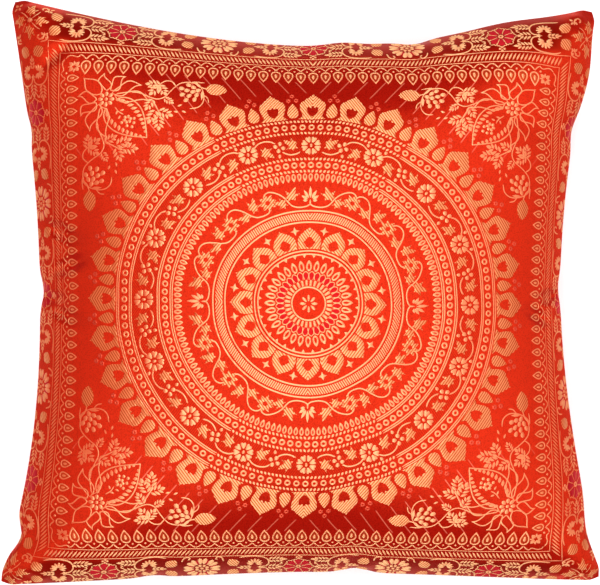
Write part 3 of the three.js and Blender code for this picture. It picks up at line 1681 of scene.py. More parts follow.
def lobed_leaf(turn: float = 0.0, size: float = 1.0) -> Weave:
    """Draw a leaf with three pointed lobes, standing on its stalk.

    Args:
        turn: Clockwise turn in degrees.
        size: Scale.

    Returns:
        The leaf.
    """
    outline = [
        (0, -4.9), (0.8, -2.9), (3.2, -3.3), (2.5, -1.3), (5, 1.1), (2.3, 0.9), (1.6, 2.2), (1.7, 4.2),
        (0.2, 6.4), (-1, 4), (-1.5, 1.9), (-4.2, 3.7), (-2.9, 0.4), (-3.6, -1.8), (-1, -2.4),
    ]
    return Weave().fill(outline).placed(turn=turn, size=size)


def feather(length: float, width: float, pairs: int = 3) -> Weave:
    """Draw a leaf made of plump leaflets in pairs, standing on the origin.

    Args:
        length: Its length.
        width: Its full width.
        pairs: Number of leaflet pairs.

    Returns:
        The leaf.
    """
    gap = 0.72 * length / pairs
    drawn = Weave().leaf((0, length * 0.62), (0, length), width * 0.34)
    for k in range(pairs):
        low = gap * (k + 0.1)
        reach = width / 2 * math.sin(math.pi * (0.36 + 0.36 * k / max(1, pairs - 1)))
        side = Weave().leaf((0.2, low - gap * 0.1), (reach, low + gap * 1.15), gap * 0.76)
        drawn.add(side, side.mirrored())
    return drawn


def hatched_leaf(length: float, width: float) -> Weave:
    """Draw a broad pointed leaf that is filled all over, standing on the origin.

    Args:
        length: Its length.
        width: Its full width.

    Returns:
        The leaf.
    """
    half = [
        (0.12, 0.93), (0.23, 0.88), (0.26, 0.81), (0.38, 0.75), (0.39, 0.67),
        (0.48, 0.59), (0.47, 0.49), (0.50, 0.38), (0.46, 0.22), (0.30, 0.06),
    ]
    outline = both_sides([(0, length), *((x * width, y * length) for x, y in half), (0, -0.12 * length)])
    return Weave().fill(outline)


@dataclass(frozen=True)
class InnerVine:
    """The ring of small gear flowers on a waving stem, with scrolls and a bud on each axis.

    Attributes:
        flower_radius: Distance of the flowers from the middle.
    """

    flower_radius: float = 72.0

    def repeats(self) -> Parts:
        """Draw the ring.

        Returns:
            Its parts of each yarn.
        """
        flower = Weave().band(star(8, 6.2, 3.5, 0, 2), circle(1.5, 8), 16).placed(0, self.flower_radius)
        stem_path = [
            (0.3, 74.8), (1.5, 77.8), (3.5, 79.2), (6, 78.7), (8.2, 76.2), (10, 72.5),
            (11.5, 69), (13.5, 66.4), (15.8, 65.2), (19, 64.9), (21.3, 65.6), (22.3, 67.4),
        ]
        wave = Weave().stroke(smooth([polar(r, a) for a, r in stem_path], 3), 1.0)
        scroll_path = [
            (0, 66.6), (0.8, 65.8), (2.4, 64.9), (6.3, 64.5), (9.6, 65.7), (11.4, 67.8), (13, 71.3),
            (15, 74.5), (17.6, 77.1), (20, 78.6), (22, 78.2), (23.2, 76.6), (23.2, 74.8),
        ]
        scroll = Weave().stroke(smooth([polar(r, a) for a, r in scroll_path], 3), 1.0)
        bud = Weave().leaf((0, 65.8), (0, 70.0), 1.2)
        for turn, reach in ((0, 10.4), (30, 8.6), (58, 6.8), (86, 4.8)):
            side = Weave().leaf(polar(1.7, turn), polar(reach, turn), 2.3).placed(0, 68.8)
            bud.add(side)
            if turn:
                bud.add(side.mirrored())
        waves, flowers, leaves = [], [], []
        wave_leaves = Weave().add(
            lobed_leaf(-62, 0.9).placed(*polar(69.6, 8.4)), lobed_leaf(38, 1.0).placed(*polar(73.4, 14.9))
        )
        for side in range(4):
            turns = {"turn": 22.5 + 90 * side, "turn_step": 22.5}
            waves.append(Repeat(wave, 2, **turns))
            leaves.append(Repeat(wave_leaves, 2, **turns))
            flowers.append(Repeat(flower, 3, **turns))
        axis_leaves = Weave().add(
            lobed_leaf(-24, 1.05).placed(*polar(73.0, 9.6)), lobed_leaf(80, 0.9).placed(*polar(68.6, 15.4))
        )
        return {
            "gold": [*flowers, *leaves, ring(axis_leaves.with_mirror(), 4)],
            "cream": [*waves, ring(Weave().add(scroll.with_mirror(), bud), 4)],
        }


def rope_ring(radius: float, width: float, pitch: float, open_angle: float) -> list[Repeat]:
    """Weave a rope line: slanting dashes at the top and bottom, two fine lines at the sides.

    Args:
        radius: Its radius.
        width: Its width.
        pitch: Distance from dash to dash.
        open_angle: How far the dashes reach from the upright axis, in degrees.

    Returns:
        Its parts.
    """
    count = round(math.radians(open_angle) * radius / pitch)
    turn = open_angle / count
    dash = Weave().leaf((-0.85, radius - width / 2), (0.85, radius + width / 2), 1.75)
    parts = []
    for base in (0, 180):
        lead, trail = (dash, dash.mirrored()) if base == 0 else (dash.mirrored(), dash)
        parts.append(Repeat(lead, count, turn=base + turn / 2, turn_step=turn))
        parts.append(Repeat(trail, count, turn=base - turn / 2, turn_step=-turn))
    steps = 72
    for base in (90, 270):
        for line in (radius - width * 0.32, radius + width * 0.32):
            arc = [polar(line, base + (90 - open_angle) * (2 * k / steps - 1)) for k in range(steps + 1)]
            parts.append(Repeat(Weave().stroke(arc, width * 0.42)))
    return parts


@dataclass(frozen=True)
class BeadRings:
    """The two rings of pierced beads between rope lines, with the teeth inside the first."""

    def repeats(self) -> Parts:
        """Draw the rings.

        Returns:
            Their parts.
        """
        tooth = Weave().band(drop(82.0, 87.8, 1.6, 0.5, 12), almond(84.0, 87.0, 0.42, 8), 8)
        parts = [ring(tooth, 144), ring(bead(93.7), 108), ring(bead(121.5), 128)]
        for radius in (89.4, 98.1, 117.2, 126.1):
            parts.extend(rope_ring(radius, 2.1, 2.55, 30))
        return {"cream": parts}


@dataclass(frozen=True)
class OuterVine:
    """The ring of sixteen large flowers with small flowers, leaves and short stems between.

    Attributes:
        flower_radius: Distance of the flowers from the middle.
    """

    flower_radius: float = 107.8

    def repeats(self) -> Parts:
        """Draw the ring.

        Returns:
            Its parts.
        """
        middle = self.flower_radius
        petal = both_sides([(0, 5.9), (0.6, 6.6), (1.6, 6.5), (2.0, 5.5), (1.4, 3.9), (0.5, 2.4)])
        flower = Weave().fill(drop(-1.4, 1.4, 0.95, 0.2, 8))
        for turn in range(0, 360, 45):
            flower.add(Weave().fill(petal).placed(turn=turn + 22.5))
        small = Weave()
        for turn in range(0, 360, 90):
            small.add(Weave().fill(drop(0.9, 4.2, 1.45, 0.4, 8)).placed(turn=turn + 20))
        inner = [(3.9, 103.2), (5.6, 101.9), (7.6, 101.6), (9.4, 102.8), (10.4, 104.3)]
        outer = [(12.4, 110.6), (13.8, 112.8), (16, 113.8), (18.2, 113.0), (19.8, 110.8)]
        half = Weave()
        for path in (inner, outer):
            half.stroke(smooth([polar(r, a) for a, r in path], 3), 1.05)
        bud = Weave().fill(drop(-1.3, 1.5, 1.15, 0.4, 8))
        half.add(bud.placed(*polar(101.2, 11.7)), bud.placed(*polar(114.4, 19.4)))
        leaves = Weave().add(
            lobed_leaf(58, 1.05).placed(*polar(108.8, 6.7)),
            lobed_leaf(-122, 1.05).placed(*polar(105.4, 16.2)),
        )
        return {
            "gold": [ring(leaves.with_mirror(), 8)],
            "cream": [
                ring(flower.placed(0, middle), 16),
                ring(small.placed(0, middle), 16, 11.25),
                ring(half.with_mirror(), 8),
            ],
        }


@dataclass(frozen=True)
class PetalRing:
    """The outer ring of pierced petals, with drops and faint trefoils between them.

    Attributes:
        count: Number of petals.
    """

    count: int = 32

    def repeats(self) -> Parts:
        """Draw the ring.

        Returns:
            Its parts.
        """
        petal = Weave().band(
            both_sides([
                (0, 149.4), (1.1, 147.4), (2.4, 147), (3.4, 145.5), (4.9, 144.9), (5.9, 143),
                (7.8, 142), (8.9, 139.4), (8.5, 135.8), (7.1, 131.9), (6.6, 130.5), (7.9, 128.7),
                (9.2, 127.6), (4.5, 127.6), (0, 127.6),
            ]),
            both_sides([(0, 138.8), (0.9, 136.9), (3.5, 137.9), (3.6, 134.8), (2.3, 131.8), (0, 129.9)]),
        )
        tear = Weave().fill(drop(141.0, 128.6, 3.95, 0.9, 20))
        rosette = Weave().band(star(6, 2.0, 1.4, 0, 1), circle(0.5, 6), 12)
        trefoil = Weave().add(
            rosette.placed(-2.6, 143.4), rosette.placed(2.6, 143.4), rosette.placed(0, 147.2)
        )
        between = 180 / self.count
        return {
            "gold": [ring(petal, self.count), ring(tear, self.count, between)],
            "rose": [ring(trefoil, self.count, between)],
        }


def petal_outline(base: Point, tip: Point, half: float, bend: float) -> Rail:
    """Draw a waving petal with a flicked tip.

    Args:
        base: Where it grows from.
        tip: Its tip.
        half: Half of its width.
        bend: How far its middle leans to the right of the line from base to tip.

    Returns:
        The closed outline.
    """
    share = np.linspace(0, 1, 13)
    run = np.subtract(tip, base)
    side = np.array([run[1], -run[0]]) / np.hypot(*run)
    spine = np.array(base) + np.outer(share, run)
    lean = 0.9 * bend * np.sin(np.pi * share) - bend * np.sin(2 * np.pi * share)
    wide = half * np.abs(np.sin(np.pi * share**0.86)) ** (0.75 + 0.9 * share**2)
    right = spine + np.outer(lean + wide, side)
    left = spine + np.outer(lean - wide, side)
    return [(float(x), float(y)) for x, y in (*right, *left[-2:0:-1])]


def point_along(line: Sequence[Point], share: float) -> Point:
    """Find a point part of the way along a line.

    Args:
        line: The line's points.
        share: How far along, from 0 to 1.

    Returns:
        The point.
    """
    points = np.array(line)
    walked = np.concatenate([[0.0], np.cumsum(np.linalg.norm(np.diff(points, axis=0), axis=1))])
    x, y = (float(np.interp(share * walked[-1], walked, points[:, k])) for k in (0, 1))
    return x, y


@dataclass(frozen=True)
class CornerSprays:
    """A large bud with curled petals in each corner, with a vine along both sides of it.

    The spray is drawn with its bud pointing up from the cluster of dots at the origin.

    Attributes:
        corner: Distance of the cluster from the design's middle, sideways and upwards.
    """

    corner: Point = (136.8, 139.0)

    def _bud(self) -> Weave:
        """Draw the bud and the dots where its petals meet.

        Returns:
            The bud.
        """
        drawn = Weave()
        for turn in range(0, 360, 45):
            drawn.add(Weave().fill(drop(2.0, 5.7, 1.35, 0.3, 8)).placed(turn=turn))
        drawn.fill(circle(1.25, 8))
        half = [
            (0, 40.3), (2.8, 36.8), (7.2, 31), (10.8, 24.6),
            (12.2, 18.6), (11.6, 12), (8.9, 7.4), (5, 5),
        ]
        shell = smooth(half, 3)
        drawn.stroke([*reversed([(-x, y) for x, y in shell[1:]]), *shell], 1.0)
        for k in range(11):
            x, y = point_along(shell, 0.93 - 0.08 * k)
            side = Weave().leaf((x * 0.55, y - 1.7 + 0.1 * k), (x * 0.86, y + 1.6), 2.5)
            drawn.add(side, side.mirrored())
        drawn.stroke(smooth([(-0.4, 8.6), (0.3, 12.5), (-0.5, 17)], 3), 0.85)
        for x, y, turn in ((1.6, 12.6, 60), (-2.0, 13.8, -62), (2.6, 16.4, 72)):
            drawn.add(Weave().leaf((0, -1.4), (0, 1.7), 1.5).placed(x, y, turn))
        for turn in range(0, 360, 60):
            drawn.add(Weave().fill(drop(0.8, 3.4, 1.1, 0.3, 8)).placed(0, 21.4, turn))
        for x, y in ((-1.3, 26.4), (1.6, 27.6), (3.4, 24.6), (-3.6, 24.2), (4.4, 20.4)):
            drawn.add(Weave().fill(circle(1.15, 8)).placed(x, y))
        return drawn

    def _petals(self) -> Weave:
        """Draw the nine open petals round the bud.

        Returns:
            The petals.
        """
        drawn = Weave()
        petals = (
            ((6, 1.8), (18.7, 21.3), 4.2, 1.5),
            ((5.8, -0.6), (23.4, 8.6), 4.1, 1.6),
            ((6.4, -2.8), (20.4, -4), 3.6, 1.5),
            ((4.6, -4.6), (12.2, -16), 3.4, 1.3),
        )
        for base, tip, half, bend in petals:
            side = Weave().stroke(petal_outline(base, tip, half, bend), 0.95, closed=True)
            drawn.add(side, side.mirrored())
        return drawn.stroke(petal_outline((0, -5.6), (0, -23.5), 5.0, 0.0), 0.95, closed=True)

    def _vine(self) -> Weave:
        """Draw the vine on one side of the bud, with its leaves.

        Returns:
            The vine.
        """
        stem = [
            (15.2, 8), (18.6, 12), (20.8, 18), (23.6, 23.6), (28.4, 25.8), (34, 24.8), (39.2, 24),
            (44.6, 24.4), (49.6, 28.4), (51.6, 34.6), (48.8, 41.4), (44.4, 45.8), (39.2, 46.6), (34.6, 43.6),
        ]
        lines = (
            (0.9, stem),
            (0.95, [(21.2, 21.4), (19.8, 27.0), (17.8, 33.6)]),
            (0.95, [(39.6, 24.0), (40.2, 19.2), (37.4, 16.2), (33.4, 15.8), (31.4, 17.0)]),
            (0.95, [(51.0, 32.0), (51.6, 35.6), (53.2, 39.0)]),
            (0.85, [(49.0, 28.2), (52.0, 29.8), (55.8, 34.4)]),
            (0.85, [(48.6, 41.6), (48.8, 45.4), (46.8, 48.6)]),
        )
        drawn = Weave()
        for width, path in lines:
            drawn.stroke(smooth(path, 3), width)
        leaves = (
            (17.4, 29.8, -70, 11.2, 9), (15.9, 34.6, -42, 10.8, 8.8), (18.8, 31.4, 24, 10.6, 8.4),
            (21.6, 22.2, -74, 9.8, 7.4), (32, 16.4, -82, 10.6, 8.6), (31.8, 16.4, -10, 9.6, 8),
            (32.4, 16.2, 221, 10, 8.2), (27.8, 26.6, 14, 7.6, 5.8),
        )
        for x, y, turn, length, width in leaves:
            drawn.add(feather(length, width).placed(x, y, turn))
        for x, y, turn in ((26.6, 39.5, 30), (31.5, 37.5, 70), (30.4, 43.0, 20)):
            drawn.add(Weave().leaf((0, -1.6), (0, 1.9), 1.6).placed(x, y, turn))
        return drawn

    def _seed_head(self) -> Weave:
        """Draw the fan of seeds inside the last turn of the vine, pointing up from its foot.

        Returns:
            The seeds.
        """
        drawn = Weave()
        rows = ((0.8, 1, 0), (4.4, 3, 48), (8.2, 4, 33), (11.8, 3, 25))
        for radius, count, step in rows:
            for k in range(count):
                turn = (k - (count - 1) / 2) * step
                drawn.add(Weave().fill(drop(-2.1, 2.1, 1.6, 0.3, 8)).placed(*polar(radius, turn), turn))
        for turn in (-68, 68):
            drawn.add(Weave().leaf((0, 1.2), (0, 9.4), 2.2).placed(0, -2.2, turn))
        return drawn

    def _end_leaf(self) -> Weave:
        """Draw the striped leaf at the end of the vine."""
        return hatched_leaf(14.0, 10.0).placed(53.6, 38.8, 41)

    def _corners(self) -> tuple[tuple[float, float, float], ...]:
        """Give the place and the turn of each spray, whose bud points to the middle."""
        x, y = self.corner
        return (-x, y, 135.0), (x, y, 225.0), (x, -y, 315.0), (-x, -y, 45.0)

    def repeats(self) -> Parts:
        """Place a spray in each corner.

        Returns:
            Its parts.
        """
        vine = self._vine().add(self._seed_head().placed(49.2, 36.6, 247))
        spray = Weave().add(self._bud(), self._petals(), vine.with_mirror())
        leaves = self._end_leaf().with_mirror()
        return {
            "cream": [Repeat(spray, start=(x, y), turn=turn) for x, y, turn in self._corners()],
            "gold": [Repeat(leaves, start=(x, y), turn=turn) for x, y, turn in self._corners()],
        }


@dataclass(frozen=True)
class Frame:
    """The rectangle of the border, as the middles of its four drop rows.

    Attributes:
        half_x: Half of its width.
        half_y: Half of its height.
        strip_in: Distance from the drops out to the inner line of the strip.
        strip_out: Distance from the drops out to the outer line of the strip.
        flowers: Distance from the drops out to the middle of the flower border.
    """

    half_x: float = 160.9
    half_y: float = 164.9
    strip_in: float = 10.4
    strip_out: float = 19.0
    flowers: float = 33.7

    def outline(self, out: float, step: float = 4.0) -> Rail:
        """Draw the rectangle a given way outside the drop rows.

        Args:
            out: The distance outwards.
            step: Largest distance from point to point.

        Returns:
            The closed outline.
        """
        x, y = self.half_x + out, self.half_y + out
        corners = ((-x, -y), (x, -y), (x, y), (-x, y))
        path: Rail = []
        for (ax, ay), (bx, by) in zip(corners, (*corners[1:], corners[0])):
            parts = math.ceil(math.hypot(bx - ax, by - ay) / step)
            path.extend((ax + (bx - ax) * k / parts, ay + (by - ay) * k / parts) for k in range(parts))
        return path

    def sides(self) -> tuple[tuple[Point, Point, float, float], ...]:
        """List the sides, for shapes drawn on the top one.

        Returns:
            Middle, direction, turn and half length of each side.
        """
        x, y = self.half_x, self.half_y
        return (
            ((0, y), (1, 0), 0.0, x),
            ((0, -y), (-1, 0), 180.0, x),
            ((x, 0), (0, -1), 90.0, y),
            ((-x, 0), (0, 1), 270.0, y),
        )

    def corners(self, out: float = 0.0) -> tuple[tuple[Point, float], ...]:
        """Give the four corners and their turns, for shapes drawn on the top right corner.

        Args:
            out: How far outside the drop rows.

        Returns:
            The corners.
        """
        x, y = self.half_x + out, self.half_y + out
        return ((x, y), 0.0), ((x, -y), 90.0), ((-x, -y), 180.0), ((-x, y), 270.0)


def row(shape: Weave, middle: Point, run: Point, turn: float, count: int, pitch: float) -> Repeat:
    """Repeat a shape along one side of the border, centred on it.

    Args:
        shape: The shape, drawn for the top side.
        middle: Middle of the side.
        run: Direction of the side.
        turn: Turn of the shape.
        count: How many there are.
        pitch: Distance from each to the next.

    Returns:
        The repeat.
    """
    back = -(count - 1) / 2 * pitch
    start = (middle[0] + run[0] * back, middle[1] + run[1] * back)
    return Repeat(shape, count, start, (run[0] * pitch, run[1] * pitch), turn)


@dataclass(frozen=True)
class DropRow:
    """How drops and dashes are set along one side of the border.

    Attributes:
        count: Number of drops.
        pitch: Distance from each to the next.
        shift: How far they stand outwards.
        size: Their scale.
        lean: Half of the slant of a dash.
        thick: Width of a dash.
    """

    count: int
    pitch: float
    shift: float
    size: float
    lean: float
    thick: float


LEVEL_ROW = DropRow(37, 8.5, 0.0, 1.0, 1.6, 1.5)
UPRIGHT_ROW = DropRow(39, 8.22, 0.9, 0.78, 3.3, 1.15)


@dataclass(frozen=True)
class DropBorder:
    """The border of pierced drops under scallops, and the strip of slanting dashes outside it.

    Attributes:
        frame: The rectangle of the drops.
        dash: Distance from dash to dash of the strip.
    """

    frame: Frame = Frame()
    dash: float = 2.7

    def _corner(self) -> Weave:
        """Draw the small leaf cluster in a corner, with its scallops.

        Returns:
            The cluster.
        """
        drawn = Weave()
        for turn in (0, 90, 180, 270):
            drawn.add(Weave().leaf((0.6, 0.6), (3.6, 3.6), 3.2).placed(turn=turn))
            drawn.add(Weave().leaf((0, 1.2), (0, 4.6), 1.7).placed(turn=turn))
        wave = [(-4.2, 8.9), (-2.6, 7.4), (-0.6, 7.6), (1.6, 8.4), (4.2, 8.2), (6.2, 6.2)]
        arc = Weave().stroke(smooth(wave, 2), 0.85)
        return drawn.add(arc, arc.mirrored().placed(turn=90))

    def _drop(self, kind: DropRow) -> tuple[Weave, Weave]:
        """Draw one drop with its scallop and dot.

        Args:
            kind: How it is set.

        Returns:
            The drop, and apart from it the filling of its hollow.
        """
        place = {"y": kind.shift, "size": kind.size}
        drawn = Weave().band(drop(-6.8, 4.6, 3.6, 1.0, 20), drop(-5.0, 3.5, 2.5, 1.0, 20), 20)
        drawn = drawn.fill(drop(-2.8, 1.9, 1.1, 0.6, 10)).placed(**place)
        hollow = Weave().fill(drop(-5.0, 3.6, 2.7, 1.0, 12), 0.06).placed(**place)
        rise = ((0.5, 8.8), (0.4, 8.7), (0.26, 8.0), (0.12, 6.7), (0.0, 5.4))
        arc = Weave().stroke(smooth([(-share * kind.pitch, y) for share, y in rise], 2), 0.95)
        dot = Weave().fill(circle(0.85, 6)).placed(kind.pitch / 2, 5.2)
        return Weave().add(drawn, arc.with_mirror(), dot), hollow

    def _dashes(self, kind: DropRow, middle: Point, run: Point, turn: float, half: float) -> list[Repeat]:
        """Weave the strip's dashes along one side, from its middle both ways.

        Args:
            kind: How they are set.
            middle: Middle of the side.
            run: Direction of the side.
            turn: Turn of the dashes.
            half: Half length of the side.

        Returns:
            The dashes of each half.
        """
        low, high = self.frame.strip_in, self.frame.strip_out
        slant = Weave().leaf((-kind.lean, low + 1.0), (kind.lean, high - 1.0), kind.thick)
        count = round((half + low + 2) / self.dash)
        parts = []
        for dash, way in ((slant, 1), (slant.mirrored(), -1)):
            step = (run[0] * way * self.dash, run[1] * way * self.dash)
            start = (middle[0] + step[0] / 2, middle[1] + step[1] / 2)
            parts.append(Repeat(dash, count, start, step, turn))
        return parts

    def repeats(self) -> Parts:
        """Draw the four sides.

        Returns:
            Their parts.
        """
        cream, amber = [], []
        for out in (self.frame.strip_in, self.frame.strip_out):
            cream.append(Repeat(Weave().stroke(self.frame.outline(out), 0.65, closed=True)))
        for middle, run, turn, half in self.frame.sides():
            kind = LEVEL_ROW if turn in (0.0, 180.0) else UPRIGHT_ROW
            whole, hollow = self._drop(kind)
            cream.append(row(whole, middle, run, turn, kind.count, kind.pitch))
            amber.append(row(hollow, middle, run, turn, kind.count, kind.pitch))
            cream.extend(self._dashes(kind, middle, run, turn, half))
        cream.extend(Repeat(self._corner(), start=place, turn=turn) for place, turn in self.frame.corners())
        return {"cream": cream, "amber": amber}


@dataclass(frozen=True)
class FlowerBorder:
    """The border of flowers, sprays and scrolls between the strip and the seam.

    Shapes are drawn from the border's middle line; downwards is towards the strip.

    Attributes:
        frame: The rectangle of the drops.
        pitch: Distance from one pink flower to the next.
    """

    frame: Frame = Frame()
    pitch: float = 131.2

    def _quarter(self) -> tuple[Weave, Weave]:
        """Draw the lower right fourth of a unit round a pink flower.

        Returns:
            Its plain and its filled parts.
        """
        plain, filled = Weave(), Weave()
        plain.add(feather(13.2, 7.4, 4).placed(20.6, -9.4, -92))
        plain.stroke(smooth([(13.4, -3.6), (11.6, -4.2), (11.4, -5.8), (12.8, -6.2)], 3), 1.2)
        scroll = [
            (41, -12.8), (35, -13.9), (28.6, -13.8), (23.6, -12.2),
            (20.8, -8.8), (20.4, -4.6), (22.4, -1.4), (25.6, -0.9),
        ]
        plain.stroke(smooth(scroll, 3), 1.2)
        for k in range(9):
            petal = drop(0.7, 6.0 - 0.12 * abs(k - 4), 0.92, 0.4, 10)
            plain.add(Weave().fill(petal).placed(30.0, -5.2, 180 + 29 * (k - 4)))
        filled.add(hatched_leaf(9.4, 8.4).placed(42.4, -3.0, 146))
        plain.stroke(smooth([(51.4, -8.6), (52.6, -12.6), (55.2, -14.2), (57.2, -12.4)], 3), 1.15)
        plain.leaf((57.2, -12.4), (55.4, -10.6), 1.5)
        return plain, filled

    def _middle_leaf(self) -> Weave:
        """Draw the two feathered leaves on the middle line and the knot between them.

        Returns:
            The leaves and the knot.
        """
        knot = Weave().fill(star(4, 2.4, 1.2)).placed(26.2, 0)
        left, right = feather(10.0, 8.6, 3), feather(10.0, 4.8, 3)
        return knot.add(left.placed(20.6, 0, -90), right.placed(32.2, 0, 90))

    def _pink(self) -> Weave:
        """Draw the pink petals of the large flower.

        Returns:
            The petals.
        """
        petal = both_sides([(0, 9.6), (1.3, 9.2), (2.8, 8.0), (2.3, 5.6), (0.5, 2.2)])
        drawn = Weave()
        for turn in range(0, 360, 45):
            drawn.add(Weave().fill(petal, 0.1).placed(turn=turn))
        return drawn

    def _pink_lines(self) -> Weave:
        """Draw the outline and the heart of the large flower, and the cross between it and the strip.

        Returns:
            The lines.
        """
        edge = [(-2.9, 6.6), (-3.5, 8.0), (-3.1, 9.2), (-1.7, 9.3), (-1.1, 10.3), (0, 10.9)]
        drawn = Weave()
        for turn in range(0, 360, 45):
            drawn.add(Weave().stroke(edge, 0.9).with_mirror().placed(turn=turn))
            drawn.add(Weave().stroke([(0.8, 2.0), (2.0, 5.0), (3.5, 8.4)], 0.75).placed(turn=turn))
            drawn.add(Weave().fill(drop(0.5, 2.1, 0.7, 0.3, 6)).placed(turn=turn))
        for turn in range(0, 360, 90):
            drawn.add(Weave().fill(drop(0.4, 2.6, 1.0, 0.3, 8)).placed(0, -12.2, turn))
        return drawn

    def _mixed(self) -> tuple[Weave, Weave]:
        """Draw the mixed flower between two pink ones.

        Returns:
            Its cream and its pink parts.
        """
        cream, pink = Weave(), Weave()
        for turn in range(0, 360, 45):
            lobe = Weave().fill(drop(5.4, 12.8, 1.75, 0.5, 12)).placed(turn=9.5)
            cream.add(lobe.with_mirror().placed(turn=turn))
            pink.add(Weave().leaf((0, 5.2), (0, 11.6), 2.6).placed(turn=turn + 22.5))
            cream.add(Weave().fill(drop(2.0, 5.2, 1.3, 0.4, 8)).placed(turn=turn + 22.5))
        cream.fill(circle(1.3, 8))
        return cream, pink

    def _corner(self) -> tuple[Weave, Weave]:
        """Draw the rosette in a corner of the border.

        Returns:
            Its plain and its filled parts.
        """
        plain, filled = Weave(), Weave()
        plain.fill(star(8, 2.6, 1.3, 0, 1))
        for turn in range(0, 360, 90):
            filled.add(lobed_leaf(0, 1.1).placed(*polar(8.0, turn), turn))
            stalk = [polar(2.0, turn + 45), polar(7.0, turn + 45), polar(11.0, turn + 40)]
            plain.stroke(smooth(stalk, 2), 0.8)
            cross = Weave()
            for part in range(0, 360, 90):
                cross.leaf(polar(0.6, part), polar(3.9, part), 2.1)
            plain.add(cross.placed(*polar(16.6, turn + 45), 45))
        return plain, filled

    def repeats(self) -> Parts:
        """Draw the four sides and corners.

        Returns:
            Their parts.
        """
        out = self.frame.flowers
        plain, filled = self._quarter()
        plain = plain.add(plain.mirrored().placed(turn=180), self._middle_leaf()).with_mirror()
        filled = filled.add(filled.mirrored().placed(turn=180)).with_mirror()
        plain.add(self._pink_lines())
        mixed_cream, mixed_pink = self._mixed()
        repeats: Parts = {"cream": [], "gold": [], "pink": []}
        plan = (
            ("cream", plain, 3),
            ("gold", filled, 3),
            ("pink", self._pink(), 3),
            ("cream", mixed_cream, 2),
            ("pink", mixed_pink, 2),
        )
        for middle, run, turn, _ in self.frame.sides():
            for yarn, shape, count in plan:
                repeats[yarn].append(row(shape.placed(0, out), middle, run, turn, count, self.pitch))
        corner_plain, corner_filled = self._corner()
        for place, turn in self.frame.corners(out):
            repeats["cream"].append(Repeat(corner_plain, start=place, turn=turn))
            repeats["gold"].append(Repeat(corner_filled, start=place, turn=turn))
        return repeats


# ---- Studio ----


PAINT = {
    "Base Color": (0.72, 0.72, 0.72, 1.0),
    "Roughness": 0.9,
    "Emission Color": (1.0, 1.0, 1.0, 1.0),
    "Emission Strength": 0.3,
}
SURROUND = {"Color": (1.0, 1.0, 1.0, 1.0), "Strength": 0.12}


@dataclass
class Studio:
    """Plain pale floor, soft light and the camera straight above.

    Attributes:
        height: Camera above the seam.
        view_width: Width that the camera sees at the seam.
        aim: Point over which the camera stands.
        seam: Height of the seam that it looks at.
        sensor: Width of its sensor, in millimetres.
        floor_half: Half of the floor's side.
    """

    height: float = 2.5
    view_width: float = 0.3924
    aim: Point = (0.0, 0.0)
    seam: float = 0.06
    sensor: float = 36.0
    floor_half: float = 0.3

    def camera(self) -> None:
        """Set the camera straight above the cover, with a long lens."""
        lens = bpy.data.cameras.new("camera")
        lens.type = "PERSP"
        lens.sensor_width = self.sensor
        lens.lens = self.sensor * self.height / self.view_width
        lens.clip_end = 20.0
        eye = bpy.data.objects.new("camera", lens)
        eye.location = (*self.aim, self.height + self.seam)
        bpy.context.scene.collection.objects.link(eye)
        bpy.context.scene.camera = eye

    def floor(self) -> None:
        """Lay the pale floor."""
        half = self.floor_half
        edge = [(-half, -half, 0), (half, -half, 0), (half, half, 0), (-half, half, 0)]
        floor = make_object("floor", edge, [(0, 1, 2, 3)])
        paint = bpy.data.materials.new("pale_floor")
        paint.use_nodes = True
        shader = paint.node_tree.nodes["Principled BSDF"]
        for name, value in PAINT.items():
            shader.inputs[name].default_value = value
        floor.data.materials.append(paint)

    def lights(self) -> None:
        """Hang one long soft light over the cover, a weak one on its right, two fills and a dim surround."""
        self._panel_light("key", (-0.14, -0.2, 2.4), (1.2, 6.6), 110.0)
        self._panel_light("right", (2.2, 0.1, 1.7), (1.0, 4.0), 24.0)
        self._panel_light("left_fill", (-2.0, 0.1, 1.9), (1.0, 2.0), 38.0, False)
        self._panel_light("right_fill", (2.0, 0.1, 1.9), (1.0, 2.0), 35.0, False)
        world = bpy.data.worlds.new("surround")
        world.use_nodes = True
        shade = world.node_tree.nodes["Background"]
        for name, value in SURROUND.items():
            shade.inputs[name].default_value = value
        bpy.context.scene.world = world
        bpy.context.scene.view_settings.view_transform = "Standard"

    def _panel_light(
        self, name: str, place: tuple[float, float, float], size: Point, power: float, glints: bool = True
    ) -> None:
        """Hang one soft light that faces down on the cover.

        Args:
            name: The light's name.
            place: Where it hangs.
            size: Its width and its length.
            power: Its strength in watts.
            glints: Whether shining threads mirror it.
        """
        data = bpy.data.lights.new(name, "AREA")
        data.shape = "RECTANGLE"
        data.size, data.size_y = size
        data.energy = power
        light = bpy.data.objects.new(name, data)
        light.location = place
        light.rotation_euler = (0.0, math.atan2(place[0], place[2]), 0.0)
        light.visible_glossy = glints
        bpy.context.scene.collection.objects.link(light)


def settle_piece(piece: Object) -> None:
    """Tell the frame which body and finish a piece belongs to.

    Args:
        piece: The finished piece.
    """
    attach(piece, "root")
    LOG.info("%s: %d faces", piece.name, len(piece.data.polygons))


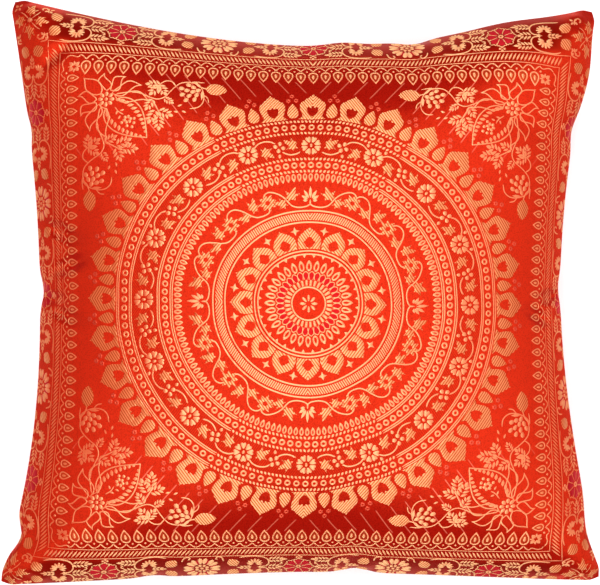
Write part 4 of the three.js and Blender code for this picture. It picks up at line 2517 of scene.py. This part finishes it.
def yarns() -> dict[str, tuple[Material, str]]:
    """Make the woven threads.

    Returns:
        The material of each yarn and its slot of the record.
    """
    metal = ((0.80, 0.080, 0.026), (0.97, 0.93, 0.50))
    sheen = (Yarn.WEFT, 0.42, 0.62, 0.85)
    between = ((0.5, 0.01, 0.004), (0.8, 0.08, 0.02))
    threads = (
        ("gold", "gold_thread", StripedThread("gold_thread", *metal, *sheen)),
        ("braid", "gold_thread", StripedThread("braid_thread", *metal, *sheen, *between, 0.0017, -1.6, 0.0)),
        ("cream", "gold_thread", Satin("cream_thread", *metal, *sheen)),
        ("amber", "gold_thread", Satin("amber_thread", (0.55, 0.035, 0.01), (0.6, 0.08, 0.02), Yarn.WARP)),
        ("rose", "pink_thread", Satin("rose_thread", (0.6, 0.04, 0.02), (0.8, 0.16, 0.08), Yarn.WEFT)),
        ("pink", "pink_thread", Satin("pink_thread", (0.5, 0.004, 0.012), (0.7, 0.03, 0.04), Yarn.WEFT)),
        ("wine", "red_satin", Satin("wine_thread", (0.42, 0.004, 0.006), (0.65, 0.02, 0.02), Yarn.WARP)),
    )
    return {yarn: (thread.material(), slot) for yarn, slot, thread in threads}


def main() -> None:
    """Build the cover, its brocade and the studio in order."""
    logging.basicConfig(level=logging.INFO)
    studio = Studio()
    studio.camera()
    studio.floor()
    studio.lights()

    red = (0.46, 0.0060, 0.0028)
    red_gleam = (0.92, 0.065, 0.016)
    ground = BrocadeGround("red_satin", red, red_gleam, Yarn.WARP, 0.45, 0.42, 1.0)
    backing = Satin("plain_back", red, red_gleam, Yarn.WARP, 0.35, 0.5, 0.8)
    cover = FilledCover()
    cover.blow_up()
    front = cover.panel("front_panel", cover.front, True, ground.material())
    back = cover.panel("back_panel", cover.back, False, backing.material())
    settle_piece(front)
    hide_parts("cushion")
    settle_piece(back)

    plan = yarns()
    loom = Loom(front)
    parts = {
        "medallion": Medallion(),
        "inner_vine": InnerVine(),
        "bead_rings": BeadRings(),
        "outer_vine": OuterVine(),
        "petal_ring": PetalRing(),
        "corner_sprays": CornerSprays(),
        "drop_border": DropBorder(),
        "flower_border": FlowerBorder(),
    }
    for name, part in parts.items():
        for yarn, repeats in part.repeats().items():
            finish, slot = plan[yarn]
            settle_piece(loom.weave(f"{name}_{yarn}", repeats, finish))


if __name__ == "__main__":
    main()
